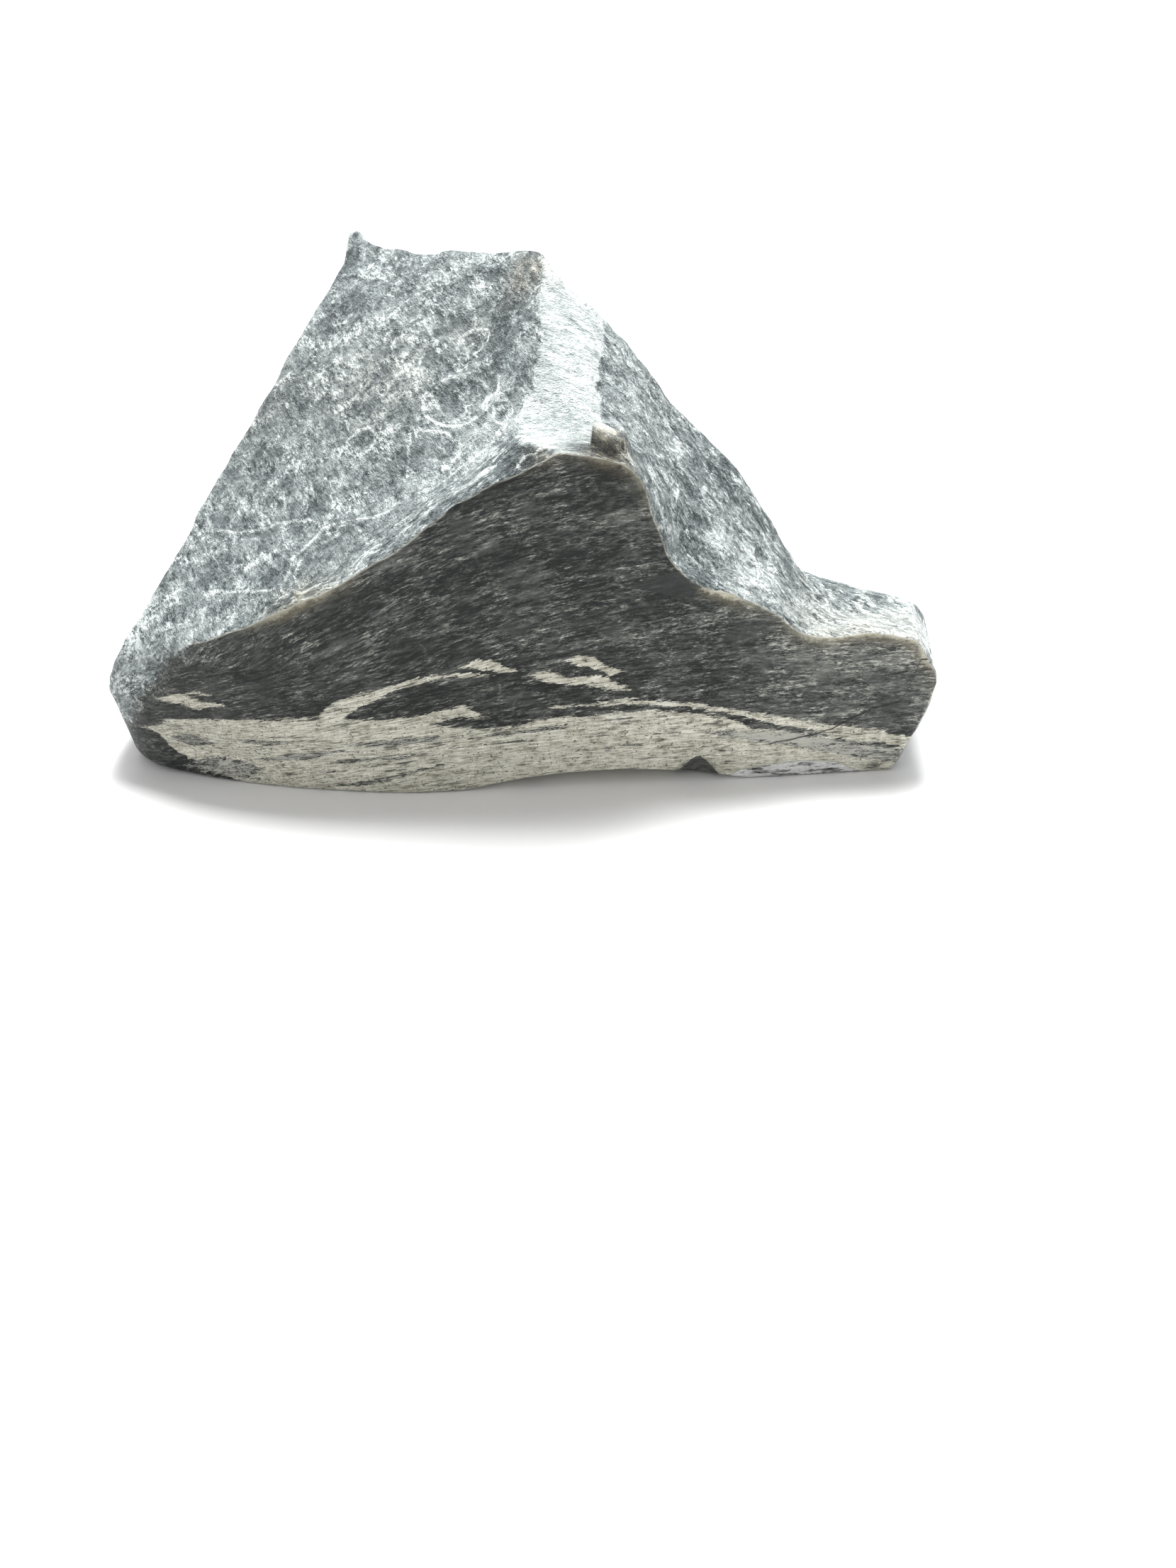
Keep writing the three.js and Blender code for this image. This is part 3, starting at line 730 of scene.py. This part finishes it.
UP_LEFT_RUN = np.cross(UP_LEFT, unit(EDGE_RUN))
GRAINS = {
    "upper_left": Grain(UP_LEFT, 0.95 * UP_LEFT_RUN - 0.2 * unit(EDGE_RUN), 2.2).lay,
    "bench": Grain(UP_LEFT, 0.97 * unit(EDGE_RUN) + 0.2 * UP_LEFT_RUN, 2.5).lay,
    "channel": Grain(FACES["channel"].normal, at(1, 0, 0.1), 4, 0.022, at(14, -70, 165)).lay,
    "right": Grain(RIGHT, at(25.5, -14, -28.5), 2.4, -0.002, at(60, -60, 140)).lay,
    "shelf": Grain(FACES["shelf"].normal, at(1, -1, 0), 2.5).lay,
    "left_end": Grain(FACES["front_left"].normal, at(1, 0, 0.8), 2).lay,
    "front": foliation,
    "hidden": bedding,
}
BENCH_WIDTH = 13    # how far up the hill the streaks follow the front edge, in mm at x = -60
BENCH_WIDENS = 0.12     # by how much that grows for each mm to the right


def zones(p, h):
    """The name of the grain zone of each point: the face that is highest there. The strip of the
    upper left face along its front edge is the bench, and the front left of the fade line is the
    left end."""
    names = ["front", "upper_left", "channel", "right", "shelf", "hidden"]
    on_hill = h["hill"] < h["shelf_all"]
    rear = np.where(on_hill, np.maximum(h["back"], h["back_right"]),
                    np.maximum(h["shelf_slope"], h["shelf_side"]))
    hidden = np.maximum.reduce([h["tip"], h["ends"], rear])
    low = np.full(len(p), -999.0)
    heights = [h["front_side"]]
    heights += [np.where(on_hill, h[name], low) for name in ("upper_left", "channel", "right")]
    heights += [np.where(on_hill, low, h["shelf"]), hidden]
    zone = np.array(names)[np.argmax(heights, axis=0)]
    up_slope = (p - EDGE_LEFT) @ unit(UP_LEFT_RUN)
    near_edge = up_slope < BENCH_WIDTH + BENCH_WIDENS * (p[:, 0] + 60)
    zone[(zone == "upper_left") & near_edge] = "bench"
    zone[(zone == "front") & (past_fade(p) < 0)] = "left_end"
    return zone


# ================================================================ Blender: the mesh
def stone_mesh():
    """The stone as a mesh in metres. Each point has the markings as attributes: distances in mm to
    the edges, lines and bands, and the strengths of the soft patches. Each corner of a triangle
    has its grain coordinates, so that the grain turns sharply from face to face."""
    ways, quads = ball_patches(CELLS)
    p = first_skin(ways)
    for _ in range(2):
        p, place, normal = sharpened(p, quads)
    p[:, 2] = np.where(p[:, 2] < BED_SNAP, 0, p[:, 2])
    corners = triangles(p, quads, place, normal)
    mesh = bpy.data.meshes.new("alabaster_rock_finish")
    mesh.from_pydata((p * MM).tolist(), [], corners.tolist())
    mesh.shade_smooth()

    h = outside(p, relief_at(p))[1]
    others = np.maximum.reduce([h["top"], h["tip"], h["ends"]])
    hill_faces = ("upper_left", "channel", "right", "back", "back_right")
    ranked = np.sort([h[name] for name in hill_faces], axis=0)
    ridge = np.where(h["hill"] < h["shelf_all"], ranked[-1] - ranked[-2], 9)
    split = h["front_side"] - others
    ends_edge = np.abs(np.maximum(h["top"], h["front_side"]) - np.maximum(h["tip"], h["ends"]))
    vein, vein_strength = vein_lines(p, way_out(p, SMOOTH))
    markings = {
        "vein": vein,
        "vein_strength": vein_strength,
        "split": np.clip(split, -20, 60),
        "edge": np.minimum.reduce([np.abs(split), ridge, ends_edge, np.full(len(p), 9.0)]),
        "channel": np.clip(h["channel"] - np.maximum(h["right"], h["back"]), -9, 9),
        "channel_left": np.clip(h["channel"] - h["upper_left"], -9, 9),
        "rim": np.clip(h["bites"] - h["whole"], -9, 9),
        "crust": np.clip(deepest(p, CRUST), -30, 30),
        "bare": np.clip(deepest(p, BARE), -30, 30),
        "dark": np.clip(deepest(p, PAINTED_SHADE_FACETS), -9, 9),
        "crushed": np.where(p[:, 1] < CRUSHED_BACK, np.clip(CRUSHED.depth(p), -9, 9), -9),
        "bright": soft_patches(p, TONE_PATCHES_AND_PAINTED_SHADE),
        "calm": soft_patches(p, CALM),
        "warm": soft_patches(p, WARM),
        "glow": soft_patches(p, GLOW),
        "crack": np.clip(crack_height(p), -9, 9),
        "fade": np.clip(past_fade(p), -30, 30),
    }
    for name, values in markings.items():
        layer = mesh.attributes.new(name, "FLOAT", "POINT")
        layer.data.foreach_set("value", values.astype(np.float32))

    zone = zones(place, outside(place, relief_at(place))[1])
    corner_zone = np.repeat(zone, 6)
    at_corner = p[corners.ravel()]
    grain = np.zeros_like(at_corner)
    for name, lay in GRAINS.items():
        chosen = corner_zone == name
        grain[chosen] = lay(at_corner[chosen])
    layer = mesh.attributes.new("grain", "FLOAT_VECTOR", "CORNER")
    layer.data.foreach_set("vector", grain.astype(np.float32).ravel())
    return mesh


# ================================================================ shader building
class Value:
    """A socket of a shader. Arithmetic on values adds Math nodes."""

    def __init__(self, shader, socket):
        self.shader = shader
        self.socket = socket

    def math(self, operation, *numbers, clamp=False):
        """One Math node."""
        settings = {"operation": operation, "use_clamp": clamp}
        return self.shader.node("ShaderNodeMath", settings, dict(enumerate(numbers)))

    def __add__(self, other):
        return self.math("ADD", self, other)

    def __radd__(self, other):
        return self.math("ADD", other, self)

    def __sub__(self, other):
        return self.math("SUBTRACT", self, other)

    def __rsub__(self, other):
        return self.math("SUBTRACT", other, self)

    def __mul__(self, other):
        return self.math("MULTIPLY", self, other)

    def __rmul__(self, other):
        return self.math("MULTIPLY", other, self)

    def __abs__(self):
        return self.math("ABSOLUTE", self)

    def above(self, other):
        """The larger of two values."""
        return self.math("MAXIMUM", self, other)

    def held(self):
        """The value kept between 0 and 1."""
        return self.math("ADD", self, 0.0, clamp=True)

    def rise(self, low, high):
        """A smooth step from 0 at low to 1 at high, or the other way round if high is lower."""
        settings = {"interpolation_type": "SMOOTHSTEP"}
        if high > low:
            return self.shader.node("ShaderNodeMapRange", settings, {0: self, 1: low, 2: high})
        return 1 - self.rise(high, low)


class Shader:
    """A material's nodes."""

    def __init__(self, name):
        self.material = bpy.data.materials.new(name)
        self.material.use_nodes = True
        self.tree = self.material.node_tree
        self.surface = self.tree.nodes["Principled BSDF"]

    def node(self, kind, settings, sockets, output=0):
        """Adds a node: its settings first, then its sockets, each a value, a link or a colour."""
        node = self.tree.nodes.new(kind)
        for name, setting in settings.items():
            if name == "stops":
                ramp = node.color_ramp.elements
                while len(ramp) < len(setting):
                    ramp.new(1)
                for stop, (position, colour) in zip(ramp, setting):
                    stop.position = position
                    stop.color = (*colour, 1)
            else:
                setattr(node, name, setting)
        for key, value in sockets.items():
            self.join(node.inputs[key], value)
        return Value(self, node.outputs[output])

    def join(self, socket, value):
        """Gives a socket a link, a number, or a vector or colour."""
        if isinstance(value, Value):
            self.tree.links.new(value.socket, socket)
        elif isinstance(value, tuple) and len(socket.default_value) == 4:
            socket.default_value = (*value, 1)
        else:
            socket.default_value = value

    def attribute(self, name, output="Fac"):
        """A marking of the mesh, or its grain coordinates."""
        return self.node("ShaderNodeAttribute", {"attribute_name": name}, {}, output)

    def place(self):
        """Object coordinates in millimetres."""
        here = self.node("ShaderNodeTexCoord", {}, {}, "Object")
        return self.node("ShaderNodeVectorMath", {"operation": "SCALE"}, {0: here, "Scale": 1 / MM})

    def noise(self, where, size, detail=2.0, roughness=0.5, bend=0.0, offset=None):
        """Noise from about -1 to 1 with features of a size in millimetres."""
        if offset is not None:
            where = self.node("ShaderNodeVectorMath", {"operation": "ADD"}, {0: where, 1: offset})
        sockets = {"Vector": where, "Scale": 1 / size, "Detail": detail, "Roughness": roughness,
                   "Distortion": bend}
        return self.node("ShaderNodeTexNoise", {}, sockets) * 4 - 2

    def colour(self, factor, a, b):
        """Colour a where the factor is 0 and b where it is 1."""
        return self.node("ShaderNodeMix", {"data_type": "RGBA"}, {0: factor, 6: a, 7: b}, 2)

    def ramp(self, value, *stops):
        """The colours of the stops, joined by straight lines."""
        return self.node("ShaderNodeValToRGB", {"stops": stops}, {0: value})

    def moved(self, where, by, amount):
        """Coordinates shifted by up to an amount in mm, as soft noise of a given size says."""
        push = self.node("ShaderNodeTexNoise", {},
                         {"Vector": where, "Scale": 1 / by, "Detail": 1.0}, "Color")
        centred = self.node("ShaderNodeVectorMath", {"operation": "SUBTRACT"},
                            {0: push, 1: (0.5, 0.5, 0.5)})
        scaled = self.node("ShaderNodeVectorMath", {"operation": "SCALE"},
                           {0: centred, "Scale": 2 * amount})
        return self.node("ShaderNodeVectorMath", {"operation": "ADD"}, {0: where, 1: scaled})

    def flecks(self, where, size):
        """1 inside a small round fleck in the middle of each cell of a size in millimetres, in
        three cells of five, and 0 outside."""
        sockets = {"Vector": where, "Scale": 1 / size}
        distance = self.node("ShaderNodeTexVoronoi", {}, sockets, "Distance")
        number = self.node("ShaderNodeTexVoronoi", {}, sockets, "Color")
        chosen = self.node("ShaderNodeSeparateColor", {}, {0: number})
        return distance.rise(0.38, 0.24) * chosen.rise(0.38, 0.42)

    def cell_edges(self, where, size):
        """Distance, in cells, to the walls between scattered cells of a size in millimetres."""
        return self.node("ShaderNodeTexVoronoi", {"feature": "DISTANCE_TO_EDGE"},
                         {"Vector": where, "Scale": 1 / size})


# ================================================================ the stone's material
def fresh_stone(s, place, grain, marks):
    """Break faces: soft clouds of grey with strands, white grains, dark specks and small pale flecks
    along the grain, cream where the stone is stained, and white along veins, lips of chips and
    bruised edges, down the channel and where the stone is crushed. Returns the colour, the
    roughness and the relief in mm."""
    patches = s.noise(place, 26, 1, 0.5)
    clouds = s.noise(place, 13, 3, 0.95, 0.3)
    strands = s.noise(grain, 3.2, 4, 1.0, 0.15)
    richness = s.noise(place, 9, 2, 0.7, 0.3, offset=(41, 17, 5))
    fine = s.noise(grain, 1.5, 2, 0.8, 0.3, offset=(31, 7, 3))
    grains = (fine + 0.55 * richness + 0.3 * clouds).rise(0.50, 0.85)
    specks = s.noise(grain, 2.4, 3, 0.9, 0.3, offset=(5, 53, 17)).rise(0.45, 1.0)
    crumbs = (s.noise(grain, 3, 4, 0.95, 0.3, offset=(71, 3, 9)) + 0.4 * richness).rise(0.35, 0.55)
    flecks = s.flecks(s.moved(grain, 5, 1.5), 2.5) * (richness + clouds).rise(-0.6, 1.0)
    cracked = s.moved(place, 8, 3.5)
    part = s.noise(place, 17, 1, offset=(9, 9, 9)).rise(0.1, 0.9)
    veins = s.cell_edges(cracked, 24).rise(0.05, 0.0) * part
    wander = marks["vein"] + 0.5 * clouds + 0.25 * strands
    broken = (0.85 + 0.6 * strands + 0.4 * clouds).held()
    lines = abs(wander).rise(1.3, 0.1) * marks["vein_strength"] * broken
    ledge = wander.rise(-0.8, 0.8) * marks["vein_strength"]
    lips = abs(marks["rim"] + 0.2 * strands).rise(0.5, 0.05) * (0.7 + 0.7 * clouds).held()
    bruise = (marks["edge"] + 0.5 * clouds).rise(0.9, 0.1) * (strands + clouds).rise(-0.6, 0.9)
    whites = (0.4 * veins).above(lines).above(0.8 * lips).above(0.6 * bruise)
    channel = marks["channel"] * (marks["channel_left"] + 1.6 * strands + 1.2 * clouds).rise(-2.5, 1.5)
    busy = (0.75 + 0.7 * richness).held() * (1 - 0.6 * marks["calm"]) * (1 - 0.35 * channel)
    busy = busy * (1 + 0.35 * marks["right"].rise(30, 60) + 0.6 * marks["right"].rise(-130, -155))
    light = 0.365 + 0.06 * patches + 0.32 * clouds * (1 - 0.5 * channel)
    light = light + busy * (0.78 * strands + 0.42 * grains - 0.42 * specks + 0.18 * crumbs + 0.34 * flecks)
    # the bright patches: crushed white stone, with painted shade and light at the knuckle and in the
    # hollow beside the channel's head
    light = light + 0.5 * marks["bright"] + 0.34 * channel + 0.6 * whites
    tone = s.ramp(light.held(),
                  (0.0, (0.040, 0.050, 0.053)), (0.3, (0.150, 0.177, 0.180)),
                  (0.6, (0.37, 0.415, 0.412)), (1.0, (0.79, 0.845, 0.84)))
    cream = s.ramp(light.held(),
                   (0.0, (0.050, 0.045, 0.034)), (0.3, (0.170, 0.155, 0.118)),
                   (0.6, (0.42, 0.395, 0.30)), (1.0, (0.80, 0.78, 0.66)))
    tone = s.colour((0.9 * marks["warm"] * clouds.rise(-0.9, 0.4)).held(), tone, cream)
    shards = s.noise(grain, 2.2, 2, 0.8, offset=(12, 40, 6))
    rubble = s.ramp((0.5 + 0.6 * shards).held(), (0.0, (0.03, 0.03, 0.03)), (0.3, (0.35, 0.35, 0.34)),
                    (0.5, (0.90, 0.90, 0.88)), (1.0, (0.95, 0.95, 0.94)))
    tone = s.colour(marks["crushed"].rise(-0.6, 0.6), tone, rubble)
    relief = 0.9 * strands + 0.3 * grains + 0.8 * clouds + 0.3 * whites + 0.8 * ledge
    return tone, 0.62 - 0.2 * grains, relief


def front_stone(s, place, grain, marks):
    """The split front: dark stone in thin streaks that follow the foliation, with soft clouds, pale
    dashes and faint upright threads, a painted glow of light through its thin top edge in brown and
    cream, painted shade in near black on two chip facets, a crack with painted shade in near black
    along its groove, and the cream crust, which has thin dark streaks and pits. Returns the colour,
    the roughness and the relief in mm."""
    patches = s.noise(place, 22, 1, 0.5)
    clouds = s.noise(grain, 9, 3, 0.95, 0.4)
    layers = s.noise(grain, 1.5, 3, 1.0, 0.2, offset=(3, 90, 3))
    dashes = s.noise(grain, 0.8, 2, 0.85, 0.1, offset=(61, 7, 3)).rise(0.35, 0.8)
    gaps = s.noise(grain, 2.2, 3, 0.85, 0.3, offset=(5, 23, 17)).rise(0.35, 0.9)
    wisps = s.noise(grain, 6, 4, 0.85, 0.6, offset=(15, 53, 7)).rise(0.35, 0.75)
    upright = s.node("ShaderNodeMapping", {}, {"Vector": s.moved(place, 12, 5), "Scale": (1, 1, 0.35)})
    part = s.noise(place, 12, 1, offset=(3, 33, 9)).rise(0.0, 0.9)
    threads = s.cell_edges(upright, 15).rise(0.06, 0.0) * part
    richness = s.noise(place, 11, 2, 0.7, 0.3, offset=(1, 67, 5))
    busy = (0.7 + 0.7 * richness).held() * (1 - 0.8 * marks["calm"])
    light = 0.205 + 0.10 * patches + 0.34 * clouds + 0.17 * wisps + 0.17 * threads
    light = light + busy * (1.05 * layers + 0.36 * dashes - 0.34 * gaps)
    light = light + 0.6 * (marks["bare"] + 2 * layers).rise(-1.5, 2)
    light = light + 0.13 * marks["right"].rise(60, 120)
    # the bright patches: crushed white stone, with painted shade and light at the knuckle and in the
    # hollow beside the channel's head
    light = light + 0.5 * marks["bright"]
    tone = s.ramp(light.held(),
                  (0.0, (0.008, 0.010, 0.009)), (0.35, (0.058, 0.063, 0.058)),
                  (0.7, (0.185, 0.19, 0.172)), (1.0, (0.47, 0.47, 0.42)))
    jagged = s.noise(place, 3.5, 3, 0.85, offset=(6, 66, 6))
    # painted glow of light through the thin top edge: brown where it is a few mm thick, pale cream at the
    # thinnest
    wide = marks["glow"] * (marks["split"] + 2.2 * jagged).rise(6, 1)
    tone = s.colour(0.75 * wide.held(), tone, (0.165, 0.15, 0.105))
    thin = marks["glow"] * (marks["split"] + 1.3 * jagged).rise(2.4, 0.6)
    tone = s.colour(0.9 * thin.held(), tone, (0.55, 0.53, 0.42))
    brown = s.colour(0.5, tone, (0.15, 0.125, 0.085))
    tone = s.colour(0.8 * marks["warm"] * (marks["split"] + 4 * clouds).rise(5, 1), tone, brown)
    edge_line = abs(marks["split"]).rise(0.8, 0.2) * (0.55 + 0.8 * clouds).held()
    tone = s.colour(edge_line, tone, (0.62, 0.61, 0.53))

    ragged = 2.4 * s.noise(grain, 4.0, 4, 0.95, 0.3, offset=(70, 20, 3))
    lifted = marks["bare"] + 1.8 * s.noise(grain, 2.6, 4, 0.95, 0.3, offset=(20, 70, 3))
    long = s.node("ShaderNodeMapping", {}, {"Vector": grain, "Scale": (0.45, 1, 1)})
    streaks = (s.noise(long, 2.0, 3, 0.8, 0.2, offset=(55, 15, 3)) + 0.5 * richness).rise(0.42, 0.58)
    fine_lines = s.noise(long, 1.0, 2, 0.85, offset=(5, 35, 13))
    pits = s.noise(place, 1.0, 1, offset=(5, 5, 5)).rise(0.6, 0.85)
    crust = (marks["crust"] + ragged).rise(0.0, 0.4) * lifted.rise(0.4, 0.0)
    crust = crust * (1 - 0.75 * streaks) * (1 - 0.8 * pits)
    stains = s.noise(place, 6, 4, 0.9, offset=(8, 8, 80))
    fill = s.ramp((0.5 + 0.35 * stains + 0.55 * fine_lines + 0.06 * patches + 0.25 * layers).held(),
                  (0.0, (0.22, 0.21, 0.16)), (0.5, (0.57, 0.555, 0.465)), (1.0, (0.80, 0.79, 0.70)))
    tone = s.colour(crust, tone, fill)
    # painted shade: the two chip facets are coloured near black
    tone = s.colour(0.8 * (marks["dark"] + 0.4 * layers).rise(-0.2, 0.4), tone, (0.028, 0.033, 0.031))
    line = abs(marks["crack"] + 0.5 * s.noise(place, 6, 2, offset=(1, 2, 3))).rise(0.6, 0.15)
    # painted shade: the crack is coloured near black, as the inside of its narrow groove is in shade; it
    # is also cut into the bump
    shaded_crack_groove = line * marks["right"].rise(88, 112)
    tone = s.colour(0.85 * shaded_crack_groove, tone, (0.02, 0.02, 0.02))
    relief = 0.24 * layers + 0.3 * clouds + 0.1 * dashes + 0.15 * crust - 0.5 * shaded_crack_groove
    return tone, 0.58 + 0.25 * crust, relief


def alabaster():
    """The whole stone: break faces and front, each with its own colour, roughness and relief."""
    s = Shader("banded alabaster")
    place = s.place()
    grain = s.attribute("grain", "Vector")
    marks = {name: s.attribute(name) for name in (
        "vein", "vein_strength", "split", "edge", "rim", "crust", "bare", "dark", "crushed", "bright",
        "crack", "fade", "channel_left")}
    marks.update({name: s.attribute(name).held() for name in ("calm", "warm", "glow")})
    marks["right"] = s.node("ShaderNodeSeparateXYZ", {}, {0: place}, "X")
    marks["channel"] = s.attribute("channel").rise(-0.4, 0.4) * marks["right"].rise(-45, 2)
    fresh, fresh_roughness, fresh_relief = fresh_stone(s, place, grain, marks)
    front, front_roughness, front_relief = front_stone(s, place, grain, marks)
    ragged = 0.3 * s.noise(place, 3, 2, 0.7)
    is_front = (marks["split"] + ragged).rise(-0.12, 0.12)
    is_front = is_front * (marks["crushed"] + 3 * ragged).rise(0.3, -0.3)
    fading = marks["fade"] + 12 * s.noise(place, 6, 4, 0.9, offset=(4, 4, 60))
    is_front = is_front * fading.rise(-9, -3)
    s.join(s.surface.inputs["Base Color"], s.colour(is_front, fresh, front))
    roughness = fresh_roughness + is_front * (front_roughness - fresh_roughness)
    s.join(s.surface.inputs["Roughness"], roughness)
    relief = fresh_relief + is_front * (front_relief - fresh_relief)
    bump = s.node("ShaderNodeBump", {}, {"Strength": 1.0, "Distance": MM, "Height": relief})
    s.join(s.surface.inputs["Normal"], bump)
    s.surface.inputs["Specular IOR Level"].default_value = 0.35
    return s.material


# ================================================================ the stone
stone = bpy.data.objects.new("alabaster_rock_stone", stone_mesh())
bpy.context.scene.collection.objects.link(stone)
stone.data.materials.append(alabaster())
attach(stone, "root")
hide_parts("alabaster_rock")


# ================================================================ the stage
EYE = at(26, -533.5, 268.6)             # the camera, in millimetres
LOOK_DOWN = 32                          # degrees below level
LENS = 27.0                             # millimetres
FILM = 36                               # longer side of the film, in millimetres
BACKDROP = 1400                         # how far behind the stone the floor turns up, in mm
BACKDROP_CURVE = 500                    # radius of the turn
BACKDROP_HALF_WIDTH = 3500
BACKDROP_HEIGHT = 3000                  # of the wall, and how far the floor comes forward
BACKDROP_DROP = 0.3                     # how far the floor lies below the bed of the stone


def backdrop():
    """A pale floor that turns up behind the stone: a profile of floor, quarter circle and wall,
    carried along X. Point (u, v) is (u, profile y(v), profile z(v))."""
    turn = np.linspace(0, np.pi / 2, 25)
    y = BACKDROP + BACKDROP_CURVE * np.sin(turn)
    y = np.concatenate([[-BACKDROP_HEIGHT], y, [BACKDROP + BACKDROP_CURVE]])
    z = BACKDROP_CURVE * (1 - np.cos(turn))
    z = np.concatenate([[0], z, [BACKDROP_HEIGHT]]) - BACKDROP_DROP
    x = np.array([-BACKDROP_HALF_WIDTH, BACKDROP_HALF_WIDTH])
    points = np.stack([np.repeat(x, len(y)), np.tile(y, 2), np.tile(z, 2)], axis=1) * MM
    i = np.arange(len(y) - 1)
    faces = np.stack([i, i + len(y), i + len(y) + 1, i + 1], axis=1)
    mesh = bpy.data.meshes.new("studio_floor")
    mesh.from_pydata(points.tolist(), [], faces.tolist())
    mesh.shade_smooth()
    s = Shader("pale floor")
    s.surface.inputs["Base Color"].default_value = (0.86, 0.86, 0.86, 1)
    s.surface.inputs["Roughness"].default_value = 0.9
    s.surface.inputs["Specular IOR Level"].default_value = 0.0
    mesh.materials.append(s.material)
    made = bpy.data.objects.new("studio_floor", mesh)
    bpy.context.scene.collection.objects.link(made)


def area_light(name, place, target, size, power):
    """A square white light of a size in mm that faces its target."""
    light = bpy.data.lights.new(name, "AREA")
    light.size = size * MM
    light.energy = power
    lamp = bpy.data.objects.new(name, light)
    lamp.location = Vector(place * MM)
    lamp.rotation_euler = Vector((target - place) * MM).to_track_quat("-Z", "Y").to_euler()
    bpy.context.scene.collection.objects.link(lamp)


def stage():
    """The camera, the backdrop, a lamp above the stone and one on the backdrop, and white light
    from all round."""
    scene = bpy.context.scene
    camera = bpy.data.cameras.new("camera")
    camera.lens = LENS
    camera.sensor_width = FILM
    view = bpy.data.objects.new("camera", camera)
    view.location = Vector(EYE * MM)
    view.rotation_euler = (math.radians(90 - LOOK_DOWN), 0, 0)
    scene.collection.objects.link(view)
    scene.camera = view
    backdrop()
    area_light("key", at(60, 200, 1250), at(0, 0, 60), 450, 27)
    area_light("backdrop light", at(0, 700, 1700), at(0, 1900, 700), 1500, 40)
    world = bpy.data.worlds.new("studio")
    world.use_nodes = True
    world.node_tree.nodes["Background"].inputs["Color"].default_value = (1, 1, 1, 1)
    world.node_tree.nodes["Background"].inputs["Strength"].default_value = 0.66
    scene.world = world
    scene.view_settings.view_transform = "Standard"


stage()
